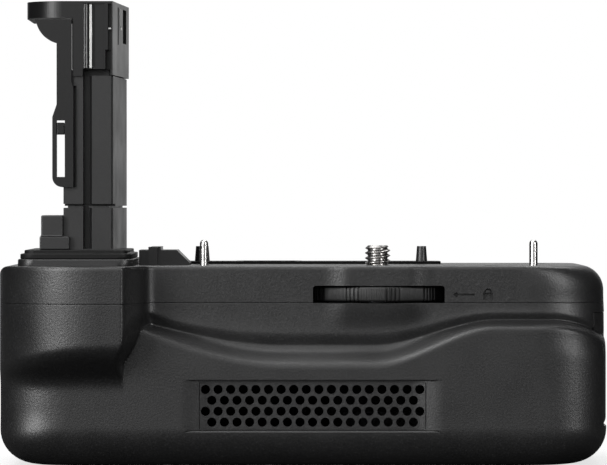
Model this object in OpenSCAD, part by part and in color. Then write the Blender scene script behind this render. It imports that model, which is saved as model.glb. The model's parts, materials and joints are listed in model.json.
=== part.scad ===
// Battery grip for a camera: a lofted case in two halves, a plug-in contact stalk, a lock wheel
// that turns the attachment screw, an intake grille with a blower behind it, and a battery bay.
// Millimetres. X runs to the right seen from the front, Y to the back, Z up, base at Z = 0.

/* [Body] */
// Overall width from end to end
body_w = 148.2; // [146.2:0.1:158]
// Height from the base to the seat face
body_h = 48.8; // [47.8:0.1:54]
// Height of the upper case above the parting line
upper_h = 9; // [8.8:0.1:10.5]
// Front face of the middle in front of the Y origin
front_depth = 19; // [18.8:0.1:22]
// Rear face behind the Y origin
rear_depth = 30; // [29.8:0.1:34]
// Wall thickness of both cases
wall = 2.2; // [1.9:0.1:2.4]
// Corner radius between the base and the ends
base_r = 9; // [6:0.5:9.5]
// Edge radius of the base at the front
base_front_r = 9.5; // [6:0.5:10]
// Edge radius of the base at the back
base_edge_r = 7; // [4:0.5:7.5]
// Top corner radius at the left end
top_left_r = 2.8; // [2:0.1:4]
// Top corner radius at the right end
top_right_r = 4.2; // [3:0.1:4.8]
// Upright corner radius at the right end
end_r = 12; // [9:0.5:13]
// Upright corner radius at the back of the right end
end_rear_r = 5; // [3:0.5:6]

/* [Hand grip and front form] */
// Left end to the start of the flank of the hand grip
handgrip_w = 30.3; // [29.5:0.1:32]
// Front of the hand grip ahead of the middle face
handgrip_out = 16; // [12:0.5:18]
// Width over which the flank falls
flank_w = 8; // [6.5:0.1:9]
// How far the flank leans to the left near the underside
flank_back = 4.5; // [2:0.5:5]
// Length of the round nose of the hand grip along X
nose_rx = 28; // [22:0.5:30]
// Length of the round nose of the hand grip along Y
nose_ry = 24; // [20:0.5:26]
// Height at which the underside of the hand grip starts
under_z = 18.5; // [16:0.5:20]
// Height of the sloping underside
under_h = 11; // [9:0.5:12]
// Swell for the palm at the back of the left end
palm_out = 5; // [2:0.5:6]
// Lower front panel ahead of the middle face
panel_out = 5; // [4:0.1:6]
// Depth of the groove under the ridge
groove_depth = 1.2; // [0.6:0.1:1.5]
// Ridge below the parting line at the sides
ridge_below = 2.2; // [1.8:0.1:3]
// Extra drop of the ridge in the middle
ridge_dip = 5; // [3:0.1:5.5]
// How far the ridge stands ahead of the middle face
ridge_out = 0.35; // [0.1:0.05:0.5]
// Swell of the front around the lock wheel
wheel_swell = 1.3; // [0.8:0.1:1.6]

/* [Intake grille] */
// Hole diameter
hole_d = 2.15; // [1.6:0.05:2.4]
// Pitch of the holes in a row
hole_pitch = 3.05; // [2.9:0.05:3.2]
// Holes in the long rows
hole_columns = 18; // [12:1:18]
// Middle of the grille along X
grille_x = 2.2; // [0:0.1:4]
// Middle height of the grille
grille_z = 15; // [14.5:0.1:16]
// Depth of the recess around the holes
recess_depth = 1.2; // [0.8:0.1:1.4]

/* [Lock wheel and attachment screw] */
// Screw axis along X
screw_x = 18.3; // [17.5:0.1:19]
// Thread diameter, a quarter inch
screw_d = 6.35; // [6:0.05:6.4]
// Thread pitch
screw_pitch = 1.27; // [1.2:0.01:1.4]
// Thread length above the seat face
screw_out = 4.8; // [4.5:0.1:6]
// Wheel radius
wheel_r = 19; // [18.5:0.1:19.2]
// Wheel thickness
wheel_t = 3.55; // [3.2:0.05:3.6]
// How far the wheel stands out of the front
wheel_proud = 1.2; // [0.9:0.1:1.4]
// Width of the wheel window
window_w = 32; // [30:0.5:34]

/* [Seat face] */
// Radius of the metal guide pins
pin_r = 1.03; // [0.9:0.01:1.2]
// Height of the guide pins above the seat face
pin_out = 6.3; // [5:0.1:7]
// Left guide pin along X
pin_left_x = -24.4; // [-26:0.1:-23]
// Right guide pin along X
pin_right_x = 56.4; // [55:0.1:58]
// Guide pins along Y
pin_y = -9; // [-10:0.1:-8]
// Thickness of the duct plate
duct_plate_t = 0.6; // [0.5:0.1:1]
// Height of the tapered pegs
peg_h = 3.8; // [3:0.1:5]

/* [Contact stalk] */
// Left end to the front groove of the stalk
stalk_inset = 21.35; // [20.9:0.05:23]
// Height of the stalk above the seat face
stalk_h = 64.3; // [60:0.1:66]
// Front face of the column in front of the Y origin
stalk_front = 18; // [17:0.1:19]
// Back face of the column behind the Y origin
stalk_back = 14; // [13:0.1:15]
// Travel of the sliding catch
catch_travel = 9.6; // [6:0.1:9.8]

/* [Battery bay and door] */
// Battery pack length
battery_l = 56.8; // [54:0.1:57]
// Battery pack width
battery_w = 38.4; // [37:0.1:38.6]
// Battery pack thickness
battery_t = 21; // [20:0.1:21.4]
// Wall of the bay
bay_wall = 1; // [0.8:0.1:1.2]
// Thickness of the battery door
door_t = 3; // [2.8:0.1:3.2]
// Travel of the door latch
latch_travel = 2; // [1.6:0.1:2.1]

/* [Blower] */
// Room between the blower and the battery bay
fan_gap = 6.4; // [6.2:0.1:8]
// Blower housing width
fan_w = 36; // [34.5:0.1:36.4]
// Impeller radius
fan_r = 13.5; // [12:0.1:14]
// Number of impeller blades
fan_blades = 24; // [16:1:30]

/* [Hidden] */
$fn = 48;
// Clearance of a sliding or turning fit, and of a pressed or screwed piece
run_fit = 0.05;
press_fit = 0.02;
// Free gap between pieces that pass each other, and room around a screw or a pad
gap = 0.3;
play = 0.2;
// Overlap of cutters past a face, and depth of a post's root in the wall it grows from
over = 1;
root_in = 0.3;
// Room between pieces that stand beside each other
beside = 1;

left_x = -body_w / 2;
right_x = body_w / 2;
seat_z = body_h;
seam_h = body_h - upper_h;
ceiling_z = body_h - wall;
flank_x = left_x + handgrip_w;
panel_y = -(front_depth + panel_out);
inner_panel_y = panel_y + wall;

// Ridge across the front
ridge_in = 3.1;
ridge_x = flank_x + ridge_in;
ridge_run = 36;
ridge_fall_from = 19.9;
ridge_fall_to = 46.6;
ridge_end_w = 13.8;
ridge_end_x = right_x - ridge_end_w;
ridge_end_drop = 4.4;
valley_h = 2.1;
valley_h_mid = 3.2;
shoulder_h = 1;
shoulder_h_mid = 5.6;
// Ends of the plan outline
end_power = 2.2;
end_ry = 11;
end_more = 3;
end_more_from = 38.5;
end_more_to = 44;
lean_from = 28;
lean_to = 36;
nose_turn = 20;
low_corner_rx = 14.5;
low_corner_ry = 14;
left_rear_rx = 10;
left_rear_ry = 10;
palm_start = 23;
palm_fade = 22;
palm_from = left_x + palm_start;
palm_to = palm_from + palm_fade;
palm_base = 14;
top_edge_r = 0.8;
draft = 0.04;
draft_from = 26;
blend = 1.6;
swell_near = 7;
swell_far = 14;

// Intake grille
hole_rows = 4;
row_pitch = hole_pitch * sin(60);
hole_margin = 0.9;
row_margin = 0.6;
grille_w = hole_pitch * (hole_columns - 1) + hole_d + hole_margin;
grille_h = row_pitch * hole_rows + row_margin;
recess_edge = 0.15;
recess_ramp = 4.1;
recess_h = 12.1;
grille_rim = 1.4;
grille_t = 2;
grille_y = panel_y + recess_depth;

// Lock drive
screw_r = screw_d / 2;
screw_y = wheel_r - wheel_proud - wheel_swell - front_depth;
screw_tip = 0.6;
screw_foot = 0.1;
thread_start = 0.75;
thread_root = 0.675;
thread_root_flat = 0.2;
thread_over = 0.13;
thread_steps = 20;
journal_r = 3.4;
tail_r = 2.4;
clip_r = 2;
clip_w = 2.4;
clip_mouth = 2.4;
collar_r = 5.2;
wheel_gap = 0.35;
wheel_z = seam_h + wheel_gap;
wheel_top = wheel_z + wheel_t;
wheel_mid = wheel_z + wheel_t / 2;
window_room = 0.65;
window_h = wheel_t + window_room;
bridge_t = 1.2;
bridge_drop = 2.3;
bridge_z = seam_h - bridge_drop;
bridge_top = bridge_z + bridge_t;
bridge_hub_r = 8;
bridge_arm = 5;
bridge_eye_r = 2.9;
bridge_side = 3.2;
bridge_reach = wheel_r + bridge_side;
bridge_post_r = 2.2;
bridge_arm_y = screw_y - 2;
bridge_posts = [
    [screw_x - bridge_reach, bridge_arm_y], [screw_x + bridge_reach, bridge_arm_y],
    [screw_x, screw_y + bridge_reach]
];
small_screw_r = 0.8;
small_head_r = 1.75;
small_head_h = 0.9;
small_screw_l = 5;
sink_play = 0.15;
small_sink = small_head_h + 2 * run_fit;
bush_r = 5;
bush_flange_r = 7;
bush_flange_t = 1;
washer_r = 6;
washer_t = 0.5;
washer_top = ceiling_z - bush_flange_t - run_fit;
collar_top = washer_top - washer_t - run_fit;
clip_t = 0.6;
clip_z = bridge_top + clip_t;
wheel_pin_r = 0.6;
wheel_pin_l = 12;
knurl_step = 0.75;
knurl_depth = 0.16;
coarse_depth = 0.55;
coarse_step = 1.5;
coarse_part = 9;
coarse_span = 24;
socket_r = 6.5;
socket_h = 8.5;
socket_end = 0.6;
socket_bore_r = 2.55;
socket_chamfer = 0.7;
socket_flange_r = 8.5;
socket_flange_t = 1.5;
socket_plate_t = 1.2;
socket_plate_half = 14;
socket_plate_front = 8;
socket_plate_back = 12;
socket_plate_r = 2;
// Direction arrow and padlock beside the wheel
mark_deep = 0.3;
mark_up = 2;
arrow_x = 38.9;
arrow_half = 2.7;
arrow_head = 1.2;
arrow_head_half = 0.7;
arrow_stem_half = 0.25;
padlock_x = 44.8;
padlock_half = 1.2;
padlock_h = 1.7;
shackle_r = 0.95;
shackle_in = 0.6;

// Battery bay
bay_gap = 0.4;
bay_in_w = battery_w + 2 * bay_gap;
bay_in_h = battery_t + 2 * bay_gap;
bay_y = 5.6;
bay_drop = 2.8;
bay_end = 5.8;
bay_top = seam_h - bay_drop;
bay_z0 = bay_top - bay_in_h - 2 * bay_wall;
bay_mid_z = bay_z0 + bay_wall + bay_in_h / 2;
bay_x1 = right_x - bay_end;
contact_t = 3;
contact_half = 9;
contact_half_h = 4;
bay_x0 = bay_x1 - battery_l - contact_t - 2 * bay_gap - bay_wall;
bay_y0 = bay_y - bay_in_w / 2 - bay_wall;
bay_y1 = bay_y + bay_in_w / 2 + bay_wall;
leg = 3;
leg_gap = 0.5;
leg_x1 = min(bay_x1, right_x - base_r - end_r - leg_gap);
leg_y0 = max(bay_y0, panel_y + base_front_r + leg_gap);
leg_y1 = min(bay_y1, rear_depth - base_edge_r - leg_gap);
mouth_relief = 1.2;
blade_pitch = 4.4;
blade_t = 0.8;
blade_out = 1.8;
blade_h = 5;
leaf_t = 0.4;
leaf_out = 2.2;
leaf_from = 11;
leaf_w = 5;
leaf_foot = 7;
leaf_bend = 2;
leaf_rise = 3;
leaf_top = 6;

// Blower, placed beside the bay with room for a case screw between them
fan_rail_h = 1;
fan_rail_w = 3;
fan_x1 = bay_x0 - fan_gap;
fan_x0 = fan_x1 - fan_w;
fan_x = (fan_x0 + fan_x1) / 2;
fan_y0 = 10;
fan_y1 = 25;
fan_wall = 1.2;
fan_z0 = wall + fan_rail_h;
fan_h = 33;
fan_top = fan_z0 + fan_h;
fan_axis_h = 16.2;
fan_z = fan_z0 + fan_axis_h;
fan_room = 1.8;
fan_cavity_r = fan_r + fan_room;
fan_back = fan_y1 - fan_wall;
fan_eye_in = 4;
fan_hub_r = 7.8;
fan_hub_wall = 0.85;
fan_hub_top = 1.2;
shaft_r = 1;
shaft_l = 9.2;
shaft_end = 0.4;
bearing_r = 2.2;
bearing_l = 7;
bearing_tube_r = 3.2;
bearing_tube_l = 6.8;
stator_end = 1.3;
stator_l = 5;
stator_core = 1;
pole_gap = 0.6;
pole_half = 0.9;
pole_in = 0.4;
magnet_t = 0.9;
impeller_end = 0.8;
impeller_l = 9.8;
impeller_disc = 1;
vane_l = 4;
vane_in = 4.2;
vane_half = 0.3;
vane_angle = 25;
duct_wall = 1;

// Screws that join the cases
column_r = 2.8;
screw_head_r = 2;
screw_head_h = 1.4;
screw_shank_r = 1;
screw_drive_r = 0.8;
screw_bite = 5.5;
head_seat_z = 30;
left_screw_in = 13;
flank_screw_in = 41;
mid_screw_x = -8;
front_screw_y = -13.8;
rear_screw_y = 24.4;
case_screw_at = [
    [left_x + left_screw_in, rear_screw_y], [left_x + flank_screw_in, front_screw_y],
    [mid_screw_x, front_screw_y], [(fan_x1 + bay_x0) / 2, rear_screw_y]
];
top_screw_front_in = 22.2;
top_screw_rear_in = 9.2;
top_screw_front_y = -12;
top_screw_rear_y = 20;
top_screw_at = [
    [bay_x1 - top_screw_front_in, top_screw_front_y], [bay_x1 - top_screw_rear_in, top_screw_rear_y]
];
top_head_depth = 1.4;
top_head_h = 1.1;
top_screw_l = 6;

// Stalk
sx = left_x + stalk_inset;
stalk_y0 = -stalk_front;
stalk_y1 = stalk_back;
boss_h = 1.7;
boss_top = seat_z + boss_h;
boss_left = 16.5;
boss_right = 11.7;
boss_x0 = sx - boss_left;
boss_x1 = sx + boss_right;
boss_front = 6.5;
boss_rear = 6;
boss_y0 = stalk_y0 - boss_front;
boss_y1 = stalk_y1 + boss_rear;
boss_r = 4;
seal_in = 0.6;
seal_tier_in = 1.6;
seal_step = 1.3;
seal_h = 2.2;
seal_top = boss_top + seal_h;
pedestal_h = 14.1;
pedestal_top = seat_z + pedestal_h;
column_gap = 0.45;
column_z = pedestal_top + column_gap;
head_h = 16.5;
neck_h = 1.6;
head_top = seat_z + stalk_h;
neck_top = head_top - head_h;
column_top = neck_top - neck_h;
core_in = 1;
neck_in = 1.4;
flange_h = 4.5;
flange_z = head_top - flange_h;
column_left_w = 5.6;
column_right_w = 6.4;
column_back_w = 8.4;
column_left = sx - column_left_w;
column_right = sx + column_right_w;
column_back_right = sx + column_back_w;
groove_half = 0.75;
groove_in = 2;
hollow_left = 3.4;
hollow_right = 5;
hollow_front = 6.5;
hollow_rear = 4;
hollow_x0 = sx - hollow_left;
hollow_x1 = sx + hollow_right;
hollow_y0 = stalk_y0 + hollow_front;
hollow_y1 = stalk_y1 - hollow_rear;
// Side moulding with the slotted rib and the bracket
holder_half = 1;
holder_y0 = stalk_y0 - holder_half;
holder_y1 = stalk_y0 + holder_half;
holder_left = 8;
holder_right = 3.1;
holder_x0 = sx - holder_left;
holder_x1 = sx - holder_right;
holder_up = 4.55;
holder_z0 = column_z + holder_up;
holder_foot_r = 2.4;
strip_left_in = 0.8;
strip_right_in = 0.5;
strip_x0 = holder_x0 + strip_left_in;
strip_x1 = holder_x1 - strip_right_in;
strip_slope = 3.8;
rib_cap = 3;
rib_slope = 2.4;
column_step = 0.7;
catch_slot_left = 7.2;
catch_slot_w = 2;
catch_slot_x0 = sx - catch_slot_left;
catch_slot_x1 = catch_slot_x0 + catch_slot_w;
catch_slot_up = 2.5;
catch_slot_z0 = holder_z0 + catch_slot_up;
catch_h = 2.9;
catch_rest = 0.4;
catch_slot_z1 = catch_slot_z0 + catch_h + catch_travel + 2 * gap + 2 * catch_rest;
catch_z = catch_slot_z1 - catch_h - gap - catch_rest;
catch_side = 0.12;
catch_lip = 0.5;
catch_lip_t = 0.9;
bracket_r = 6.7;
bracket_up = 0.8;
// Head
head_back_w = 0.5;
head_x0 = strip_x1 + run_fit;
head_y1 = stalk_y1 + holder_half;
nose_r = 9.5;
nose_left = 5.4;
nose_x = sx - nose_left;
head_roof = 4;
slot_roof = 0.8;
seam_slot_x = sx - 0.8;
seam_slot_w = 0.35;
seam_slot_in = 1;
blade_slot_w = 0.7;
blade_slot_in = 1.6;
blade_left_x = sx + 0.9;
blade_right_x = sx + 5.5;
face_panel_x0 = sx + 1.8;
face_panel_x1 = sx + 5.1;
face_panel_in = 0.6;
notch_x0 = sx + 4.8;
notch_w = 2.6;
notch_in = 4;
notch_h = 4.4;
side_slot_w = 1;
side_slots = 3;
side_slot_first = 10.5;
side_slot_pitch = 6.5;
blade_set = 0.1;
blade_roof = 1.6;
lean = atan((column_back_right + head_back_w - column_right) / (head_y1 - holder_y0));
// Block that presses the door switch of the camera
key_w = 5.7;
key_h = 8.4;
key_base_h = 3.3;
key_front = 2;
key_base_d = 18;
key_d = 13.6;
key_step = 0.35;
key_toe = 1.5;
key_y0 = stalk_y0 - key_front;
// Flat cable down the stalk
flex_right = 1.6;
flex_x = sx + flex_right;
flex_t = 0.3;
flex_in = 1.5;
flex_y0 = hollow_y0 + flex_in;
flex_w = 12;

// Seat face
pocket = 0.3;
duct_plate_right = 32.6;
duct_plate_left = 7;
duct_plate_x0 = boss_x1 + duct_plate_left;
duct_plate_x1 = duct_plate_right;
duct_plate_y0 = 9.5;
duct_plate_y1 = 25.5;
duct_plate_r = 3;
plate_top = seat_z + duct_plate_t;
outlet_left = 2.6;
outlet_w = 12.9;
outlet_x0 = fan_x + outlet_left;
outlet_x1 = outlet_x0 + outlet_w;
outlet_side = 2;
outlet_y0 = fan_y0 + outlet_side;
outlet_y1 = fan_y1 - outlet_side;
slot_count = 4;
slot_gap = 1.1;
gasket_t = 0.4;
gasket_w = 1.8;
gasket_r = 1.5;
peg_y = 17;
peg_left_r = 1.9;
peg_right_r = 1.45;
peg_right_in = 2.9;
peg_left_x = (duct_plate_x0 + outlet_x0 - gasket_w) / 2;
peg_right_x = duct_plate_x1 - peg_right_in;
peg_taper = 0.3;
pin_stem = 5.6;
pin_collar = 0.35;
pin_stem_r = pin_r + pin_collar;
pin_boss_r = 2.6;
block_side = 0.6;
block_x0 = boss_x1 + block_side;
block_w = 12.5;
block_pin_gap = 2;
block_y0 = pin_y + block_pin_gap;
block_y1 = duct_plate_y0 - beside;
block_low = 3.7;
block_high = 4.5;
block_toe = 0.5;
ledge_w = 2.8;
crest_w = 2.6;
block_slope = 3.2;

// Control board, in front of the blower
board_in = 11.5;
board_w = 26;
board_x0 = left_x + board_in;
board_x1 = board_x0 + board_w;
board_y0 = -18;
board_y1 = fan_y0 - beside;
board_z = 8;
board_t = 1.6;
board_top = board_z + board_t;
standoff_r = 2;
standoff_in = 2.6;
board_screw_r = 0.7;
board_screw_l = 4;
board_head_r = 1.5;
board_head_h = 1;
board_hole_r = 0.95;
board_screw_at = [
    for (x = [board_x0 + standoff_in, board_x1 - standoff_in])
        for (y = [board_y0 + standoff_in, board_y1 - standoff_in]) [x, y]
];
plug_side = 1.6;
plug_end = 1;
plug_h = 4;
plug_floor = 2;
chip_gap = 1.2;
chip_w = 6;
chip_d = 7;
chip_h = 1.1;
coil_h = 3.5;

// Battery door
knuckle_r = 2;
door_side = 0.3;
door_x1 = right_x - door_side;
door_x0 = door_x1 - door_t;
door_z0 = bay_z0 + bay_wall - 2 * knuckle_r - play;
door_z1 = bay_top + play;
door_margin = 0.5;
door_w = bay_in_w + 2 * bay_wall + 2 * door_margin;
door_y0 = bay_y - door_w / 2;
door_y1 = bay_y + door_w / 2;
hinge_x = door_x1 - knuckle_r;
hinge_z = door_z0 + knuckle_r;
hinge_r = 0.8;
case_knuckle = 14;
knuckle_y0 = bay_y - case_knuckle / 2;
knuckle_y1 = bay_y + case_knuckle / 2;
knuckle_web = 3;
knuckle_root = 2;
pad_t = 1.2;
pad_half = 3;
pad_half_h = 5;
pad_at = 12;
latch_pad_w = 12;
latch_pad_h = 6.5;
latch_pad_drop = 10.5;
latch_pad_z = door_z1 - latch_pad_drop;
latch_floor = door_t / 2;
latch_proud = 0.2;
latch_stem_w = 6;
latch_stem_h = 4;
latch_stem_up = 1;
latch_side = 0.1;
latch_plate_w = 8;
latch_plate_t = 1.2;
latch_ribs = 4;
latch_rib_pitch = 1.4;
latch_rib_gap = 0.5;
keeper_w = 10;
keeper_gap = 0.35;
keeper_x0 = door_x0 + keeper_gap;

function unit(t) = min(1, max(0, t));
function mix(a, b, t) = a + (b - a) * t;
function ease(a, b, t) = let (u = unit((t - a) / (b - a))) u * u * (3 - 2 * u);
function smooth_max(a, b, k) = let (h = unit(0.5 + 0.5 * (a - b) / k)) mix(b, a, h) + k * h * (1 - h);
function round_in(r, d) = d >= r ? 0 : r - sqrt(r * r - pow(r - max(d, 0), 2));
function end_round(s) = 1 - pow(1 - pow(unit(s), end_power), 1 / end_power);

// Ridge, groove and shoulder heights along the front
function dip(x) = sin(90 * unit((x - ridge_x) / ridge_run)) * (1 - ease(ridge_fall_from, ridge_fall_to, x));
function ridge_z(x) = seam_h - ridge_below - ridge_dip * dip(x)
    - ridge_end_drop * pow(unit((x - ridge_end_x) / (right_x - ridge_end_x)), 2);
function valley_z(x) = ridge_z(x) - mix(valley_h, valley_h_mid, dip(x));
function shoulder_z(x) = valley_z(x) - mix(shoulder_h, shoulder_h_mid, dip(x));

// How far the front stands ahead of the middle face
function swell(x, z) = wheel_swell * ease(ridge_z(x), seam_h, z)
    * (1 - ease(swell_near, swell_far, abs(x - screw_x)));
function lip(z, a) = ridge_out * pow(unit((seam_h - z) / (seam_h - a)), 3);
function middle_out(x, z) = let (a = ridge_z(x), b = valley_z(x), c = shoulder_z(x))
    z >= a ? lip(z, a) + swell(x, z)
    : z >= b ? mix(ridge_out, -groove_depth, ease(a, b, z))
    : z >= c ? mix(-groove_depth, panel_out, ease(b, c, z))
    : panel_out;
function grip_rise(z) = ease(under_z, under_z + under_h, z);
function flank(x, z) = let (start = flank_x - flank_back * (1 - ease(lean_from, lean_to, z)))
    pow(1 - pow(unit((x - start) / flank_w), 2), 3);
function grip_out(x, z) = flank(x, z) * mix(panel_out - blend, handgrip_out, grip_rise(z));
function front_out(x, z) = smooth_max(middle_out(x, z), grip_out(x, z), blend);

// Ends, front and back of the outer form
function left_low(z) = left_x + round_in(base_r, z);
function left_at(z) = left_low(z) + round_in(top_left_r, body_h - z);
function right_at(z) = right_x - round_in(base_r, z) - round_in(top_right_r, body_h - z)
    - draft * max(0, z - draft_from);
function edges_in(r, z) = round_in(r, z) + round_in(top_edge_r, body_h - z);
function end_rx(z) = end_r + end_more * ease(end_more_from, end_more_to, z);
function front_at(x, z) = let (xr = right_at(z), rise = grip_rise(z), rx = mix(low_corner_rx, nose_rx, rise))
    edges_in(base_front_r, z) - front_depth - front_out(x, z)
    + mix(low_corner_ry, nose_ry, rise) * end_round((left_low(z) + rx - x) / rx)
    + end_ry * end_round((x - xr + end_rx(z)) / end_rx(z));
function back_at(x, z) = let (xl = left_low(z), xr = right_at(z))
    rear_depth - edges_in(base_edge_r, z) + palm_out * (1 - ease(palm_from, palm_to, x)) * ease(0, palm_base, z)
    - left_rear_ry * end_round((xl + left_rear_rx - x) / left_rear_rx)
    - end_rear_r * end_round((x - xr + end_rear_r) / end_rear_r);

// Inner form, one wall thickness inside the outer one
ball = [[0, 0], [1, 0], [-1, 0], [0.7, 0], [-0.7, 0], [0, 1], [0, -1], [0, 0.7], [0, -0.7]];
function depth_of(b) = wall * sqrt(1 - b.x * b.x - b.y * b.y);
function inner_front(x, z) = max([for (b = ball) front_at(x + wall * b.x, z + wall * b.y) + depth_of(b)]);
function inner_back(x, z) = min([for (b = ball) back_at(x + wall * b.x, z + wall * b.y) - depth_of(b)]);
function inner_left(z) = left_x + wall + round_in(base_r - wall, z - wall)
    + round_in(max(top_left_r - wall, 0.2), ceiling_z - z);
function inner_right(z) = right_at(z) - wall - round_in(max(top_right_r - wall, 0.2), ceiling_z - z);

// Stations along X, close together where the form turns
function span(a, b, n) = [for (i = [0:n - 1]) mix(a, b, i / n)];
function turn(n) = [for (i = [0:n - 1]) 1 - cos(90 * i / n)];
flank_near = flank_x - flank_back - 1;
flank_far = flank_x + flank_w + 1;
end_from = right_x - end_r - end_more - 2;
function stations(xl, xr, k) = concat(
    [for (t = turn(8 * k)) mix(xl, left_x + nose_turn, t)],
    span(left_x + nose_turn, flank_near, 3 * k),
    span(flank_near, flank_far, 8 * k),
    span(flank_far, end_from, 18 * k),
    [for (i = [0:6 * k]) mix(xr, end_from, 1 - sin(90 * i / (6 * k)))]
);
function outer_ring(row) = let (xs = stations(left_at(row(left_x)), right_at(row(right_x)), 1), n = len(xs))
    concat(
        [for (x = xs) [x, front_at(x, row(x)), row(x)]],
        [for (i = [1:n]) let (x = xs[n - i]) [x, back_at(x, row(x)), row(x)]]
    );
function inner_ring(z) = let (xs = stations(inner_left(z), inner_right(z), 0.5), n = len(xs))
    concat(
        [for (x = xs) [x, inner_front(x, z), z]],
        [for (i = [1:n]) let (x = xs[n - i]) [x, inner_back(x, z), z]]
    );

// A solid through rings of points that all have the same count
module loft(rings) {
    n = len(rings[0]);
    rows = len(rings);
    half = n / 2;
    top = (rows - 1) * n;
    sides = [for (r = [0:rows - 2], i = [0:n - 1]) let (a = r * n, j = (i + 1) % n)
        [[a + i, a + n + i, a + n + j], [a + i, a + n + j, a + j]]];
    floor_faces = [for (i = [0:half - 2]) [i, i + 1, n - 2 - i, n - 1 - i]];
    roof_faces = [for (i = [0:half - 2]) [top + n - 1 - i, top + n - 2 - i, top + i + 1, top + i]];
    polyhedron(
        points = [for (r = rings, p = r) p],
        faces = concat([for (s = sides, f = s) f], floor_faces, roof_faces)
    );
}

base_rows = 6;
panel_rows = 11;
shoulder_rows = 4;
valley_rows = 3;
lower_rows = concat(
    [for (j = [0:base_rows]) let (z = base_r * (1 - cos(90 * j / base_rows))) function (x) z],
    [for (j = [1:panel_rows]) function (x) mix(base_r, shoulder_z(x), j / panel_rows)],
    [for (j = [1:shoulder_rows]) function (x) mix(shoulder_z(x), valley_z(x), j / shoulder_rows)],
    [for (j = [1:valley_rows]) function (x) mix(valley_z(x), ridge_z(x), j / valley_rows)],
    [function (x) seam_h]
);
crown_z = body_h - top_right_r;
crown_rows = 5;
upper_rows = concat(
    [function (x) seam_h],
    [for (j = [0:crown_rows]) let (z = mix(crown_z, body_h, sin(90 * j / crown_rows))) function (x) z]
);
inner_floor = wall;
inner_rows_low = [for (t = [0, 0.03, 0.09, 0.17, 0.3, 0.45, 0.58, 0.67, 0.74, 0.81, 0.88, 0.94, 1])
    mix(inner_floor, seam_h + over, t)];
inner_rows_high = [for (t = [0, 0.4, 0.75, 0.92, 1]) mix(seam_h - over, ceiling_z, t)];

// Small helpers
module block(x0, x1, y0, y1, z0, z1) {
    translate([x0, y0, z0]) cube([x1 - x0, y1 - y0, z1 - z0]);
}

module rod(x, y, z0, z1, r) {
    translate([x, y, z0]) cylinder(r = r, h = z1 - z0);
}

module rod_y(x, z, y0, y1, r) {
    translate([x, y0, z]) rotate([-90, 0, 0]) cylinder(r = r, h = y1 - y0);
}

module rod_x(y, z, x0, x1, r) {
    translate([x0, y, z]) rotate([0, 90, 0]) cylinder(r = r, h = x1 - x0);
}

module ring_y(x, z, y0, y1, r_out, r_in) {
    difference() {
        rod_y(x, z, y0, y1, r_out);
        rod_y(x, z, y0 - over, y1 + over, r_in);
    }
}

module ring_z(x, y, z0, z1, r_out, r_in) {
    difference() {
        rod(x, y, z0, z1, r_out);
        rod(x, y, z0 - over, z1 + over, r_in);
    }
}

// A plate with round corners
module plate(x0, x1, y0, y1, z0, z1, r) {
    translate([0, 0, z0]) linear_extrude(z1 - z0) {
        translate([x0 + r, y0]) square([x1 - x0 - 2 * r, y1 - y0]);
        translate([x0, y0 + r]) square([x1 - x0, y1 - y0 - 2 * r]);
        for (x = [x0 + r, x1 - r], y = [y0 + r, y1 - r]) translate([x, y]) circle(r);
    }
}

// An upright panel drawn in X and Z
module panel(y0, y1) {
    translate([0, y1, 0]) rotate([90, 0, 0]) linear_extrude(y1 - y0) children();
}

// Plan of the stalk column, grown outward by an edge
module column_plan(edge) {
    polygon([
        [column_left - edge, stalk_y0 - edge], [column_right + edge, stalk_y0 - edge],
        [column_back_right + edge, stalk_y1 + edge], [column_left - edge, stalk_y1 + edge]
    ]);
}

module stalk_hollow(z0, z1) {
    block(hollow_x0, hollow_x1, hollow_y0, hollow_y1, z0, z1);
}

// Cases
module recess_cut() {
    flat = grille_w / 2 + recess_edge;
    half = flat + recess_ramp;
    translate([grille_x, 0, grille_z - recess_h / 2]) linear_extrude(recess_h) polygon([
        [-half, panel_y - over], [-half, panel_y], [-flat, grille_y],
        [flat, grille_y], [half, panel_y], [half, panel_y - over]
    ]);
}

// Flat seat behind the wall for the rim of the grille
module grille_seat() {
    half_w = grille_w / 2 + grille_rim + play;
    half_h = grille_h / 2 + grille_rim + play;
    block(grille_x - half_w, grille_x + half_w, inner_panel_y, inner_panel_y + grille_t, grille_z - half_h,
        grille_z + half_h);
}

module door_opening() {
    block(bay_x1 + play, right_x + over, door_y0 - gap, door_y1 + gap, door_z0 - gap, door_z1 + gap);
}

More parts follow.
